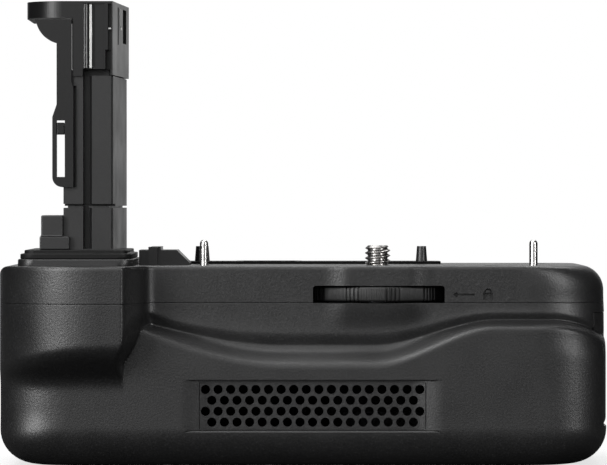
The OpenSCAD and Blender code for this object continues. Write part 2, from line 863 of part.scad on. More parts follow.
module lower_case() {
    rail_y1 = rear_depth - base_edge_r - leg_gap;
    color([0.16, 0.16, 0.165]) difference() {
        union() {
            difference() {
                loft([for (r = lower_rows) outer_ring(r)]);
                loft([for (z = inner_rows_low) inner_ring(z)]);
                door_opening();
            }
            for (at = case_screw_at) rod(at.x, at.y, wall - root_in, seam_h, column_r);
            for (at = board_screw_at) rod(at.x, at.y, wall - root_in, board_z, standoff_r);
            for (x = [fan_x0 + fan_rail_w, fan_x1 - 2 * fan_rail_w])
                block(x, x + fan_rail_w, fan_y0 + beside, rail_y1, wall - root_in, fan_z0);
            rod_y(hinge_x, hinge_z, knuckle_y0, knuckle_y1, knuckle_r);
            block(hinge_x - knuckle_web / 2, hinge_x + knuckle_web / 2, knuckle_y0, knuckle_y1,
                door_z0 - knuckle_root, hinge_z);
            block(keeper_x0, right_x - wall, bay_y - keeper_w / 2, bay_y + keeper_w / 2, door_z1 + gap, seam_h);
        }
        recess_cut();
        block(grille_x - grille_w / 2 - run_fit, grille_x + grille_w / 2 + run_fit, panel_y - over,
            inner_panel_y + over, grille_z - grille_h / 2 - run_fit, grille_z + grille_h / 2 + run_fit);
        grille_seat();
        for (at = case_screw_at) {
            rod(at.x, at.y, -over, head_seat_z, screw_head_r + gap);
            rod(at.x, at.y, head_seat_z - over, seam_h + over, screw_shank_r + play);
        }
        for (at = board_screw_at)
            rod(at.x, at.y, board_z - board_screw_l - play, board_z + over, board_screw_r + press_fit);
        rod(screw_x, screw_y, -over, wall + over, socket_r + press_fit);
        rod_y(hinge_x, hinge_z, knuckle_y0 - over, knuckle_y1 + over, hinge_r + press_fit);
    }
}

module lock_marks() {
    mark_z = seam_h + mark_up;
    neck = arrow_head - arrow_half;
    panel(-front_depth - over, mark_deep - front_depth) {
        translate([arrow_x, mark_z]) polygon([
            [-arrow_half, 0], [neck, arrow_head_half], [neck, arrow_stem_half], [arrow_half, arrow_stem_half],
            [arrow_half, -arrow_stem_half], [neck, -arrow_stem_half], [neck, -arrow_head_half]
        ]);
        translate([padlock_x - padlock_half, mark_z - padlock_half]) square([2 * padlock_half, padlock_h]);
        translate([padlock_x, mark_z - padlock_half + padlock_h]) difference() {
            circle(shackle_r);
            circle(shackle_in);
            translate([-2 * shackle_r, -2 * shackle_r]) square([4 * shackle_r, 2 * shackle_r]);
        }
    }
}

// Shallow pockets for the pieces that sit on the seat face
module seat_pockets() {
    f = press_fit;
    z = seat_z - pocket;
    plate(boss_x0 - f, boss_x1 + f, boss_y0 - f, boss_y1 + f, z, seat_z + over, boss_r + f);
    plate(duct_plate_x0 - f, duct_plate_x1 + f, duct_plate_y0 - f, duct_plate_y1 + f, z, seat_z + over,
        duct_plate_r + f);
    block(block_x0 - f, block_x0 + block_w + f, block_y0 - f, block_y1 + f, z, seat_z + over);
}

module upper_case() {
    color([0.17, 0.17, 0.175]) difference() {
        union() {
            difference() {
                loft([for (r = upper_rows) outer_ring(r)]);
                loft([for (z = inner_rows_high) inner_ring(z)]);
            }
            for (at = case_screw_at) rod(at.x, at.y, seam_h, ceiling_z + root_in, column_r);
            for (at = bridge_posts) rod(at.x, at.y, bridge_top, ceiling_z + root_in, bridge_post_r);
            for (x = [pin_left_x, pin_right_x])
                rod(x, pin_y, seat_z - pin_stem, ceiling_z + root_in, pin_boss_r);
        }
        block(screw_x - window_w / 2, screw_x + window_w / 2, -front_depth - 2 * over - wheel_swell,
            wall + over - front_depth, seam_h - over, seam_h + window_h);
        rod(screw_x, screw_y, ceiling_z - over, seat_z + over, bush_r + press_fit);
        for (at = case_screw_at)
            rod(at.x, at.y, seam_h - over, seam_h + screw_bite + gap, screw_shank_r + press_fit);
        for (at = bridge_posts)
            rod(at.x, at.y, bridge_top - over, bridge_top + small_screw_l + gap, small_screw_r + press_fit);
        for (x = [pin_left_x, pin_right_x])
            rod(x, pin_y, seat_z - pin_stem - over, seat_z + over, pin_stem_r + press_fit);
        for (at = top_screw_at) {
            rod(at.x, at.y, seat_z - top_head_depth, seat_z + over, screw_head_r + play);
            rod(at.x, at.y, ceiling_z - over, seat_z, screw_shank_r + play);
        }
        block(outlet_x0, outlet_x1, outlet_y0, outlet_y1, ceiling_z - over, seat_z + over);
        stalk_hollow(ceiling_z - over, seat_z + over);
        seat_pockets();
        lock_marks();
    }
}

module intake_grille() {
    half_w = grille_w / 2;
    half_h = grille_h / 2;
    color([0.15, 0.15, 0.155]) difference() {
        union() {
            block(grille_x - half_w, grille_x + half_w, grille_y, grille_y + grille_t, grille_z - half_h,
                grille_z + half_h);
            block(grille_x - half_w - grille_rim, grille_x + half_w + grille_rim, inner_panel_y,
                grille_y + grille_t, grille_z - half_h - grille_rim, grille_z + half_h + grille_rim);
        }
        for (row = [0:hole_rows - 1], i = [0:hole_columns - 1 - row % 2])
            rod_y(grille_x + (i - (hole_columns - 1 - row % 2) / 2) * hole_pitch,
                grille_z + ((hole_rows - 1) / 2 - row) * row_pitch,
                grille_y - over, grille_y + grille_t + over, hole_d / 2);
    }
}

// Lock drive
function knurl(a) = let (c = a % coarse_span)
    c < coarse_part ? (floor(c / coarse_step) % 2 == 0 ? coarse_depth : 0)
    : (floor(c / knurl_step) % 2 == 0 ? knurl_depth : 0);

module cross_hole() {
    rod_x(screw_y, wheel_mid, screw_x - wheel_pin_l / 2, screw_x + wheel_pin_l / 2, wheel_pin_r + press_fit);
}

module lock_wheel() {
    rim = [for (a = [0:knurl_step:360 - knurl_step]) let (r = wheel_r - knurl(a)) [r * cos(a), r * sin(a)]];
    color([0.2, 0.2, 0.2]) difference() {
        translate([screw_x, screw_y, wheel_z]) linear_extrude(wheel_t) polygon(rim);
        rod(screw_x, screw_y, wheel_z - over, wheel_top + over, journal_r + press_fit);
        cross_hole();
    }
}

// Helical groove of the thread
module thread_groove(z0, z1) {
    reach = screw_r + thread_over;
    root = screw_r - thread_root;
    half_root = thread_root_flat / 2;
    half_out = half_root + (reach - root) * tan(30);
    count = ceil(thread_steps * (z1 - z0) / screw_pitch);
    profile = [[reach, half_out], [root, half_root], [root, -half_root], [reach, -half_out]];
    points = [for (k = [0:count], p = profile) let (a = 360 * k / thread_steps)
        [p.x * cos(a), p.x * sin(a), z0 + screw_pitch * k / thread_steps + p.y]];
    sides = [for (k = [0:count - 1], i = [0:3]) let (j = (i + 1) % 4, a = 4 * k)
        [[a + i, a + j, a + 4 + j], [a + i, a + 4 + j, a + 4 + i]]];
    last = 4 * count;
    polyhedron(points = points, faces = concat(
        [for (s = sides, f = s) f], [[3, 2, 1, 0]], [[last, last + 1, last + 2, last + 3]]
    ));
}

module attachment_screw() {
    top = seat_z + screw_out;
    color([0.75, 0.75, 0.76]) difference() {
        union() {
            rod(screw_x, screw_y, bridge_z + screw_foot, wheel_z, tail_r);
            rod(screw_x, screw_y, wheel_z, seat_z, journal_r);
            rod(screw_x, screw_y, wheel_top, collar_top, collar_r);
            rod(screw_x, screw_y, seat_z, top - screw_tip, screw_r);
            translate([screw_x, screw_y, top - screw_tip])
                cylinder(r1 = screw_r, r2 = screw_r - screw_tip, h = screw_tip);
        }
        translate([screw_x, screw_y, 0]) thread_groove(seat_z + thread_start, top + thread_start);
        ring_z(screw_x, screw_y, clip_z - run_fit, clip_z + clip_t + run_fit, tail_r + over, clip_r);
        cross_hole();
    }
}

module wheel_pin() {
    color([0.6, 0.6, 0.6]) rod_x(screw_y, wheel_mid, screw_x - wheel_pin_l / 2 + run_fit,
        screw_x + wheel_pin_l / 2 - run_fit, wheel_pin_r);
}

module retaining_clip() {
    color([0.55, 0.55, 0.55]) difference() {
        ring_z(screw_x, screw_y, clip_z, clip_z + clip_t, clip_r + clip_w, clip_r + press_fit);
        block(screw_x, screw_x + 2 * clip_w + clip_r, screw_y - clip_mouth / 2, screw_y + clip_mouth / 2,
            clip_z - over, clip_z + clip_t + over);
    }
}

module thrust_washer() {
    color([0.8, 0.78, 0.7])
        ring_z(screw_x, screw_y, washer_top - washer_t, washer_top, washer_r, journal_r + run_fit);
}

module bearing_bush() {
    color([0.72, 0.6, 0.35]) difference() {
        union() {
            rod(screw_x, screw_y, ceiling_z - bush_flange_t, ceiling_z, bush_flange_r);
            rod(screw_x, screw_y, ceiling_z - bush_flange_t, seat_z, bush_r);
        }
        rod(screw_x, screw_y, ceiling_z - 2 * bush_flange_t, seat_z + over, journal_r + run_fit);
    }
}

module bridge_plate() {
    arm = bridge_arm / 2;
    color([0.6, 0.6, 0.62]) difference() {
        union() {
            rod(screw_x, screw_y, bridge_z, bridge_top, bridge_hub_r);
            for (at = bridge_posts) rod(at.x, at.y, bridge_z, bridge_top, bridge_eye_r);
            block(bridge_posts[0].x, bridge_posts[1].x, bridge_arm_y - arm, bridge_arm_y + arm, bridge_z,
                bridge_top);
            block(screw_x - arm, screw_x + arm, screw_y, bridge_posts[2].y, bridge_z, bridge_top);
        }
        rod(screw_x, screw_y, bridge_z - over, bridge_top + over, tail_r + run_fit);
        for (at = bridge_posts) {
            rod(at.x, at.y, bridge_z - over, bridge_top + over, small_screw_r + sink_play);
            translate([at.x, at.y, bridge_z - run_fit])
                cylinder(r1 = small_head_r + sink_play, r2 = small_screw_r + sink_play / 2, h = small_sink);
        }
    }
}

module bridge_screws() {
    color([0.5, 0.5, 0.5]) for (at = bridge_posts) {
        translate([at.x, at.y, bridge_z]) cylinder(r1 = small_head_r, r2 = small_screw_r, h = small_head_h);
        rod(at.x, at.y, bridge_z + small_head_h, bridge_top + small_screw_l, small_screw_r);
    }
}

module guide_pins() {
    color([0.78, 0.78, 0.78]) for (x = [pin_left_x, pin_right_x]) {
        rod(x, pin_y, seat_z - pin_stem, seat_z, pin_stem_r);
        rod(x, pin_y, seat_z, seat_z + pin_out - pin_r, pin_r);
        translate([x, pin_y, seat_z + pin_out - pin_r]) sphere(pin_r);
    }
}

// Seat face
module duct_plate() {
    slot_w = (outlet_w - (slot_count - 1) * slot_gap) / slot_count;
    z = seat_z - pocket;
    color([0.08, 0.08, 0.08]) difference() {
        plate(duct_plate_x0, duct_plate_x1, duct_plate_y0, duct_plate_y1, z, plate_top, duct_plate_r);
        for (i = [0:slot_count - 1]) let (x = outlet_x0 + i * (slot_w + slot_gap))
            block(x, x + slot_w, outlet_y0, outlet_y1, z - over, plate_top + over);
    }
}

module duct_gasket() {
    color([0.05, 0.05, 0.05]) difference() {
        plate(outlet_x0 - gasket_w, outlet_x1 + gasket_w, outlet_y0 - gasket_w, outlet_y1 + gasket_w,
            plate_top, plate_top + gasket_t, gasket_r);
        block(outlet_x0 - play, outlet_x1 + play, outlet_y0 - play, outlet_y1 + play, plate_top - over,
            plate_top + over);
    }
}

module locating_pegs() {
    color([0.1, 0.1, 0.1]) for (p = [[peg_left_x, peg_left_r], [peg_right_x, peg_right_r]])
        translate([p.x, peg_y, plate_top]) cylinder(r1 = p.y, r2 = p.y - peg_taper, h = peg_h);
}

module locating_block() {
    foot = seat_z - pocket;
    low = seat_z + block_low;
    high = seat_z + block_high;
    crest_x0 = block_x0 + ledge_w;
    crest_x1 = crest_x0 + crest_w;
    end_x = block_x0 + block_w;
    color([0.13, 0.13, 0.13]) panel(block_y0, block_y1) polygon([
        [block_x0, foot], [block_x0, low], [crest_x0, low], [crest_x0, high], [crest_x1, high],
        [crest_x1, low], [end_x - block_slope, low], [end_x, seat_z + block_toe], [end_x, foot]
    ]);
}

// Stalk
module stalk_boss() {
    color([0.2, 0.2, 0.2]) difference() {
        plate(boss_x0, boss_x1, boss_y0, boss_y1, seat_z - pocket, boss_top, boss_r);
        stalk_hollow(seat_z - pocket - over, boss_top + over);
    }
}

// A tier of the seal, smaller than the boss all round
module seal_tier(inset, z1) {
    plate(boss_x0 + inset, boss_x1 - inset, boss_y0 + inset, boss_y1 - inset, boss_top, z1, boss_r - inset);
}

module stalk_seal() {
    color([0.06, 0.06, 0.06]) difference() {
        union() {
            seal_tier(seal_in, boss_top + seal_step);
            seal_tier(seal_tier_in, seal_top);
        }
        translate([0, 0, boss_top - over]) linear_extrude(seal_h + 2 * over) column_plan(run_fit);
    }
}

module front_groove(z0, z1) {
    block(sx - groove_half, sx + groove_half, stalk_y0 - over, stalk_y0 + groove_in, z0, z1);
}

module stalk_pedestal() {
    color([0.19, 0.19, 0.19]) difference() {
        union() {
            translate([0, 0, boss_top]) linear_extrude(pedestal_top - boss_top) column_plan(0);
            translate([0, 0, boss_top]) linear_extrude(column_z - boss_top) column_plan(-core_in);
        }
        stalk_hollow(boss_top - over, column_z + over);
        front_groove(seal_top + beside, column_z + over);
    }
}

module stalk_column() {
    color([0.2, 0.2, 0.2]) difference() {
        union() {
            translate([0, 0, column_z]) linear_extrude(column_top - column_z) column_plan(0);
            translate([0, 0, column_z]) linear_extrude(neck_top - column_z) column_plan(-neck_in);
        }
        stalk_hollow(column_z - over, neck_top + over);
        front_groove(column_z - over, neck_top + over);
        block(column_left - over, holder_x1, stalk_y0 - over, holder_y1, holder_z0, neck_top + over);
        block(column_left - over, column_left + column_step, stalk_y0 - over, stalk_y1 + over, holder_z0,
            neck_top + over);
    }
}

module door_holder() {
    cap_z = catch_slot_z1 + rib_cap;
    far = 2 * bracket_r;
    color([0.21, 0.21, 0.21]) difference() {
        union() {
            panel(holder_y0, holder_y1) polygon([
                [holder_x0 + holder_foot_r, holder_z0], [holder_x1, holder_z0], [holder_x1, cap_z],
                [strip_x1, cap_z + strip_slope], [strip_x1, flange_z], [strip_x0, flange_z],
                [strip_x0, cap_z], [holder_x0, cap_z - rib_slope], [holder_x0, holder_z0 + holder_foot_r]
            ]);
            rod_y(holder_x0 + holder_foot_r, holder_z0 + holder_foot_r, holder_y0, holder_y1, holder_foot_r);
            difference() {
                rod_y(column_left, flange_z + bracket_up, holder_y0, holder_y1, bracket_r);
                block(column_left - far, column_left + far, holder_y0 - over, holder_y1 + over, flange_z,
                    flange_z + far);
                block(strip_x1, column_left + far, holder_y0 - over, holder_y1 + over, flange_z - far,
                    flange_z + over);
            }
        }
        block(catch_slot_x0, catch_slot_x1, holder_y0 - over, holder_y1 + over, catch_slot_z0, catch_slot_z1);
    }
}

module holder_slider() {
    right = catch_slot_x1 - catch_side;
    lip_y = holder_y1 + run_fit;
    color([0.24, 0.24, 0.24]) {
        block(catch_slot_x0 + catch_side, right, holder_y0 - play, lip_y, catch_z, catch_z + catch_h);
        block(catch_slot_x0 - catch_lip, right, lip_y, lip_y + catch_lip_t, catch_z, catch_z + catch_h);
    }
}

// Plan of the stalk head, wider than the column
module head_plan() {
    polygon([
        [head_x0, holder_y0], [column_right, holder_y0],
        [column_back_right + head_back_w, head_y1], [head_x0, head_y1]
    ]);
}

// Plan of the flange, with a round nose at the front left
module flange_plan() {
    translate([nose_x, holder_y0 + nose_r]) circle(nose_r);
    translate([nose_x - nose_r, holder_y0 + nose_r])
        square([holder_x1 - nose_x + nose_r, head_y1 - holder_y0 - nose_r]);
    translate([nose_x, holder_y0]) square([holder_x1 - nose_x, nose_r]);
}

module on_right_face(y) {
    translate([column_right, holder_y0, 0]) rotate([0, 0, -lean]) translate([0, y, 0]) children();
}

// A slot in the front of the head
module face_slot(x0, x1, deep, z0, z1) {
    block(x0, x1, holder_y0 - over, holder_y0 + deep, z0, z1);
}

module contact_housing() {
    foot = neck_top - over;
    roof = head_top - slot_roof;
    color([0.14, 0.14, 0.14]) difference() {
        union() {
            translate([0, 0, neck_top]) linear_extrude(head_h) head_plan();
            translate([0, 0, flange_z]) linear_extrude(flange_h) flange_plan();
        }
        stalk_hollow(foot, head_top - head_roof);
        face_slot(seam_slot_x, seam_slot_x + seam_slot_w, seam_slot_in, foot, roof);
        face_slot(blade_left_x, blade_left_x + blade_slot_w, blade_slot_in, foot, roof);
        face_slot(face_panel_x0, face_panel_x1, face_panel_in, foot, roof);
        face_slot(blade_right_x, blade_right_x + blade_slot_w, blade_slot_in, neck_top + notch_h - gap, roof);
        face_slot(notch_x0, notch_x0 + notch_w, notch_in, foot, neck_top + notch_h);
        for (i = [0:side_slots - 1]) on_right_face(side_slot_first + side_slot_pitch * i)
            translate([-blade_slot_in, -side_slot_w / 2, foot])
                cube([2 * blade_slot_in, side_slot_w, roof - foot]);
    }
}

module stalk_contacts() {
    foot = neck_top + beside;
    top = head_top - blade_roof;
    deep = holder_y0 + blade_slot_in;
    blade = blade_slot_w - 2 * blade_set;
    color([0.8, 0.68, 0.4]) {
        translate([blade_left_x + blade_set, 0, 0])
            block(0, blade, holder_y0 + blade_set, deep, foot, top);
        translate([blade_right_x + blade_set, 0, 0])
            block(0, blade, holder_y0 + gap, deep, foot + notch_in, top);
        for (i = [0:side_slots - 1]) on_right_face(side_slot_first + side_slot_pitch * i)
            translate([-blade_slot_in, -side_slot_w / 4, foot])
                cube([blade_slot_in - gap, side_slot_w / 2, top - foot]);
    }
}

module switch_key() {
    side = column_left - run_fit;
    base_top = seal_top + key_base_h;
    color([0.17, 0.17, 0.17]) {
        block(column_left - key_w, side, key_y0, key_y0 + key_base_d, seal_top, base_top);
        block(column_left - key_w + key_step, side, key_y0 + key_step, key_y0 + key_step + key_d, base_top,
            seal_top + key_h);
        block(side, column_left + key_toe, key_y0, stalk_y0 - run_fit, seal_top, base_top);
    }
}

module stalk_flex() {
    color([0.75, 0.5, 0.2]) block(flex_x, flex_x + flex_t, flex_y0, flex_y0 + flex_w, board_top + plug_floor,
        head_top - head_roof - play);
}

// Control board
module control_board() {
    color([0.05, 0.25, 0.15]) difference() {
        block(board_x0, board_x1, board_y0, board_y1, board_z, board_top);
        for (at = board_screw_at) rod(at.x, at.y, board_z - over, board_top + over, board_hole_r);
    }
}

module board_parts() {
    right = flex_x + flex_t + plug_side + chip_gap;
    left = flex_x - plug_side - chip_gap;
    mid_y = (board_y0 + board_y1) / 2;
    color([0.12, 0.12, 0.12]) {
        difference() {
            block(flex_x - plug_side, flex_x + flex_t + plug_side, flex_y0 - plug_end,
                flex_y0 + flex_w + plug_end, board_top, board_top + plug_h);
            block(flex_x - run_fit, flex_x + flex_t + run_fit, flex_y0 - run_fit, flex_y0 + flex_w + run_fit,
                board_top + plug_floor - run_fit, board_top + plug_h + over);
        }
        block(right, right + chip_w, mid_y - chip_gap - chip_d, mid_y - chip_gap, board_top,
            board_top + chip_h);
        block(right, right + chip_w, mid_y, mid_y + chip_d, board_top, board_top + coil_h);
        block(left - chip_w, left, mid_y - chip_d / 2, mid_y + chip_d / 2, board_top, board_top + chip_h);
    }
}

module board_screws() {
    color([0.6, 0.6, 0.6]) for (at = board_screw_at) {
        rod(at.x, at.y, board_z - board_screw_l, board_top, board_screw_r);
        rod(at.x, at.y, board_top, board_top + board_head_h, board_head_r);
    }
}

// Base
module tripod_socket() {
    plate_z = wall + socket_plate_t;
    color([0.74, 0.74, 0.75]) difference() {
        union() {
            rod(screw_x, screw_y, 0, socket_h, socket_r);
            rod(screw_x, screw_y, plate_z, plate_z + socket_flange_t, socket_flange_r);
        }
        rod(screw_x, screw_y, -over, socket_h - socket_end, socket_bore_r);
        translate([screw_x, screw_y, -press_fit])
            cylinder(r1 = socket_bore_r + socket_chamfer, r2 = socket_bore_r, h = socket_chamfer);
    }
}

module socket_plate() {
    color([0.55, 0.56, 0.58]) difference() {
        plate(screw_x - socket_plate_half, screw_x + socket_plate_half, screw_y - socket_plate_front,
            screw_y + socket_plate_back, wall, wall + socket_plate_t, socket_plate_r);
        rod(screw_x, screw_y, wall - over, wall + socket_plate_t + over, socket_r + press_fit);
    }
}

module case_screws() {
    head_z = head_seat_z - screw_head_h;
    color([0.4, 0.4, 0.4]) for (at = case_screw_at) difference() {
        union() {
            rod(at.x, at.y, head_z, head_seat_z, screw_head_r);
            rod(at.x, at.y, head_seat_z, seam_h + screw_bite, screw_shank_r);
        }
        rod(at.x, at.y, head_z - over, head_z + screw_head_h / 2, screw_drive_r);
    }
}

module top_screws() {
    head_z = seat_z - top_head_depth;
    color([0.3, 0.3, 0.3]) for (at = top_screw_at) difference() {
        union() {
            rod(at.x, at.y, head_z, head_z + top_head_h, screw_head_r);
            rod(at.x, at.y, head_z - top_screw_l, head_z, screw_shank_r);
        }
        rod(at.x, at.y, head_z + top_head_h / 2, seat_z, screw_drive_r);
    }
}

// Blower
module fan_housing() {
    y0 = fan_y0 + fan_wall;
    color([0.1, 0.1, 0.1]) {
        difference() {
            block(fan_x0, fan_x1, y0, fan_y1, fan_z0, fan_top);
            rod_y(fan_x, fan_z, y0 - over, fan_back, fan_cavity_r);
            block(outlet_x0, outlet_x1, y0 - over, fan_back, fan_z, fan_top + over);
        }
        ring_y(fan_x, fan_z, fan_back - bearing_tube_l, fan_back, bearing_tube_r, bearing_r + press_fit);
    }
}

module fan_cover() {
    color([0.12, 0.12, 0.12]) difference() {
        block(fan_x0, fan_x1, fan_y0, fan_y0 + fan_wall, fan_z0, fan_top);
        rod_y(fan_x, fan_z, fan_y0 - over, fan_y0 + fan_wall + over, fan_r - fan_eye_in);
    }
}

module fan_bearing() {
    color([0.72, 0.6, 0.35]) ring_y(fan_x, fan_z, fan_back - bearing_l, fan_back, bearing_r, shaft_r + run_fit);
}

module fan_stator() {
    y1 = fan_back - stator_end;
    y0 = y1 - stator_l;
    core_r = bearing_tube_r + stator_core;
    tip_r = fan_hub_r - fan_hub_wall - magnet_t - pole_gap;
    color([0.6, 0.35, 0.2]) {
        ring_y(fan_x, fan_z, y0, y1, core_r, bearing_tube_r + press_fit);
        for (a = [0:60:300]) translate([fan_x, 0, fan_z]) rotate([0, a, 0])
            block(core_r - pole_in, tip_r, y0, y1, -pole_half, pole_half);
    }
}

module rotor_magnet() {
    r = fan_hub_r - fan_hub_wall - press_fit;
    y1 = fan_back - stator_end;
    color([0.3, 0.3, 0.32]) ring_y(fan_x, fan_z, y1 - stator_l, y1, r, r - magnet_t);
}

module fan_shaft() {
    y1 = fan_back - shaft_end;
    color([0.75, 0.75, 0.75]) rod_y(fan_x, fan_z, y1 - shaft_l, y1, shaft_r);
}

module impeller() {
    back = fan_back - impeller_end;
    front = back - impeller_l;
    cup = front + impeller_disc;
    color([0.07, 0.07, 0.07]) difference() {
        union() {
            rod_y(fan_x, fan_z, cup, back, fan_hub_r);
            rod_y(fan_x, fan_z, back - impeller_disc, back, fan_r);
            for (i = [0:fan_blades - 1]) translate([fan_x, 0, fan_z]) rotate([0, 360 * i / fan_blades, 0])
                translate([fan_r - vane_in, 0, 0]) rotate([0, vane_angle, 0])
                    block(0, vane_l, front, back, -vane_half, vane_half);
        }
        rod_y(fan_x, fan_z, cup + fan_hub_top, back + over, fan_hub_r - fan_hub_wall);
        rod_y(fan_x, fan_z, cup - over, back + over, shaft_r + press_fit);
    }
}

module air_duct() {
    color([0.09, 0.09, 0.09]) difference() {
        block(outlet_x0 - duct_wall, outlet_x1 + duct_wall, outlet_y0 - duct_wall, outlet_y1 + duct_wall,
            fan_top, ceiling_z);
        block(outlet_x0, outlet_x1, outlet_y0, outlet_y1, fan_top - over, ceiling_z + over);
    }
}

// Battery bay
module battery_bay() {
    color([0.18, 0.18, 0.18]) {
        difference() {
            block(bay_x0, bay_x1, bay_y0, bay_y1, bay_z0, bay_top);
            block(bay_x0 + bay_wall, bay_x1 + over, bay_y0 + bay_wall, bay_y1 - bay_wall, bay_z0 + bay_wall,
                bay_top - bay_wall);
            block(bay_x1 - mouth_relief, bay_x1 + over, bay_y0 - over, bay_y0 + bay_wall + over, bay_z0 - over,
                bay_top + over);
        }
        for (x = [bay_x0, leg_x1 - leg], y = [leg_y0, leg_y1 - leg])
            block(x, x + leg, y, y + leg, wall, bay_z0);
        for (at = top_screw_at) ring_z(at.x, at.y, bay_top, ceiling_z, column_r, screw_shank_r + press_fit);
    }
}

module contact_block() {
    x = bay_x0 + bay_wall;
    color([0.1, 0.1, 0.1]) block(x, x + contact_t, bay_y - contact_half, bay_y + contact_half,
        bay_mid_z - contact_half_h, bay_mid_z + contact_half_h);
}

module battery_contacts() {
    x = bay_x0 + bay_wall + contact_t;
    color([0.82, 0.7, 0.4]) for (i = [-1.5:1.5]) translate([0, bay_y + i * blade_pitch, bay_mid_z])
        block(x, x + blade_out, -blade_t / 2, blade_t / 2, -blade_h / 2, blade_h / 2);
}

module eject_spring() {
    x = bay_x0 + bay_wall;
    tip = x + leaf_out;
    y = bay_y + leaf_from;
    color([0.7, 0.7, 0.72]) panel(y, y + leaf_w) translate([0, bay_mid_z]) polygon([
        [x, -leaf_foot], [x + leaf_t, -leaf_foot], [x + leaf_t, -leaf_bend], [tip + leaf_t, leaf_rise],
        [tip + leaf_t, leaf_top], [tip, leaf_top], [tip, leaf_rise], [x, -leaf_bend]
    ]);
}

// Battery door
module battery_door() {
    inner = case_knuckle / 2 + gap;
    pad_half_w = latch_pad_w / 2 + play;
    stem_half_w = latch_stem_w / 2 + latch_side;
    stem_z = latch_pad_z + latch_stem_up;
    color([0.16, 0.16, 0.165]) difference() {
        union() {
            block(door_x0, door_x1, door_y0, door_y1, hinge_z, door_z1);
            rod_y(hinge_x, hinge_z, door_y0, bay_y - inner, knuckle_r);
            rod_y(hinge_x, hinge_z, bay_y + inner, door_y1, knuckle_r);
        }
        block(door_x0 - over, door_x1 + over, bay_y - inner, bay_y + inner, hinge_z - over,
            hinge_z + knuckle_r + gap);
        rod_y(hinge_x, hinge_z, door_y0 - over, door_y1 + over, hinge_r + run_fit);
        block(door_x0 + latch_floor, door_x1 + over, bay_y - pad_half_w, bay_y + pad_half_w, latch_pad_z - play,
            latch_pad_z + latch_pad_h + latch_travel + play);
        block(door_x0 - over, door_x1, bay_y - stem_half_w, bay_y + stem_half_w, stem_z - latch_side,
            stem_z + latch_stem_h + latch_travel + latch_side);
    }
}

module hinge_pin() {
    color([0.7, 0.7, 0.7]) rod_y(hinge_x, hinge_z, door_y0 + play, door_y1 - play, hinge_r);
}

module door_pad() {
    color([0.08, 0.08, 0.08]) for (y = [bay_y - pad_at, bay_y + pad_at]) translate([0, y, bay_mid_z])
        block(door_x0 - pad_t, door_x0, -pad_half, pad_half, -pad_half_h, pad_half_h);
}

module latch_slider() {
    pad_x = door_x0 + latch_floor + run_fit;
    plate_x = door_x0 - run_fit;
    z = latch_pad_z + latch_stem_up;
    color([0.22, 0.22, 0.22]) {
        difference() {
            block(pad_x, door_x1 + latch_proud, bay_y - latch_pad_w / 2, bay_y + latch_pad_w / 2, latch_pad_z,
                latch_pad_z + latch_pad_h);
            for (i = [0:latch_ribs - 1]) let (rib_z = z + latch_rib_pitch * i)
                block(door_x1 - latch_side, door_x1 + over, bay_y - latch_pad_w, bay_y + latch_pad_w, rib_z,
                    rib_z + latch_rib_gap);
        }
        block(plate_x, pad_x, bay_y - latch_stem_w / 2, bay_y + latch_stem_w / 2, z, z + latch_stem_h);
        block(plate_x - latch_plate_t, plate_x, bay_y - latch_plate_w / 2, bay_y + latch_plate_w / 2, z,
            door_z1);
    }
}

lower_case();
upper_case();
intake_grille();
lock_wheel();
attachment_screw();
wheel_pin();
retaining_clip();
thrust_washer();
bearing_bush();
bridge_plate();
bridge_screws();
guide_pins();
duct_plate();
duct_gasket();
locating_pegs();
locating_block();
stalk_boss();
stalk_seal();
stalk_pedestal();
stalk_column();
door_holder();
holder_slider();
contact_housing();
stalk_contacts();
switch_key();
stalk_flex();
control_board();
board_parts();
board_screws();
tripod_socket();
socket_plate();
case_screws();
top_screws();
fan_housing();
fan_cover();
fan_bearing();
fan_stator();
fan_shaft();
rotor_magnet();
impeller();
air_duct();
battery_bay();
contact_block();
battery_contacts();
eject_spring();
battery_door();
hinge_pin();
door_pad();
latch_slider();
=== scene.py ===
# %% [markdown]
# # Dressing a camera battery grip
# The solids of the grip are loaded as a fixed frame in metres. This lesson gives them their finish:
# the two case mouldings are lofted again at a fine step, the screw and the wheel are built with a real thread
# and a knurl, the stalk gets its fine slots and strips, and the other pieces keep their solids.

# %% Load the frame
import json
import math
import bmesh
import bpy
import numpy as np
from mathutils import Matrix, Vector


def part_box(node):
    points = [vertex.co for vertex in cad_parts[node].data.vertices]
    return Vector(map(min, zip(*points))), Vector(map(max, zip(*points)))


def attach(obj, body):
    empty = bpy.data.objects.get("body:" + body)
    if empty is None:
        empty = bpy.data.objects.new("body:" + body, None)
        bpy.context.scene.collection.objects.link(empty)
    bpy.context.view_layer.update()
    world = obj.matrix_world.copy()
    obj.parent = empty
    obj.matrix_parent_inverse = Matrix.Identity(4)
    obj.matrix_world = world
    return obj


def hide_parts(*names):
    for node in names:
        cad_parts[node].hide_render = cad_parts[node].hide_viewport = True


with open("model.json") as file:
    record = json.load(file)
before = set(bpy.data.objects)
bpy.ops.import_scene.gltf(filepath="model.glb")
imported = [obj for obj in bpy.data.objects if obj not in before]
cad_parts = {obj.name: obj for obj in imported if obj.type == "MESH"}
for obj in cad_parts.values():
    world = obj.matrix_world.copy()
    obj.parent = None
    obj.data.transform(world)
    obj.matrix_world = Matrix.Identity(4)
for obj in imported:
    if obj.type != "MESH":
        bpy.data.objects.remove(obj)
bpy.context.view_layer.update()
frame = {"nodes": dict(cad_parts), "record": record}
nodes = frame["nodes"]
MM = 0.001

# %% [markdown]
# ## The camera
# The photograph was taken almost level from about a metre, so the lens is long and the camera tilts down by
# less than half a degree. Image height 200 of 465 is the horizon, at 65 mm above the table.

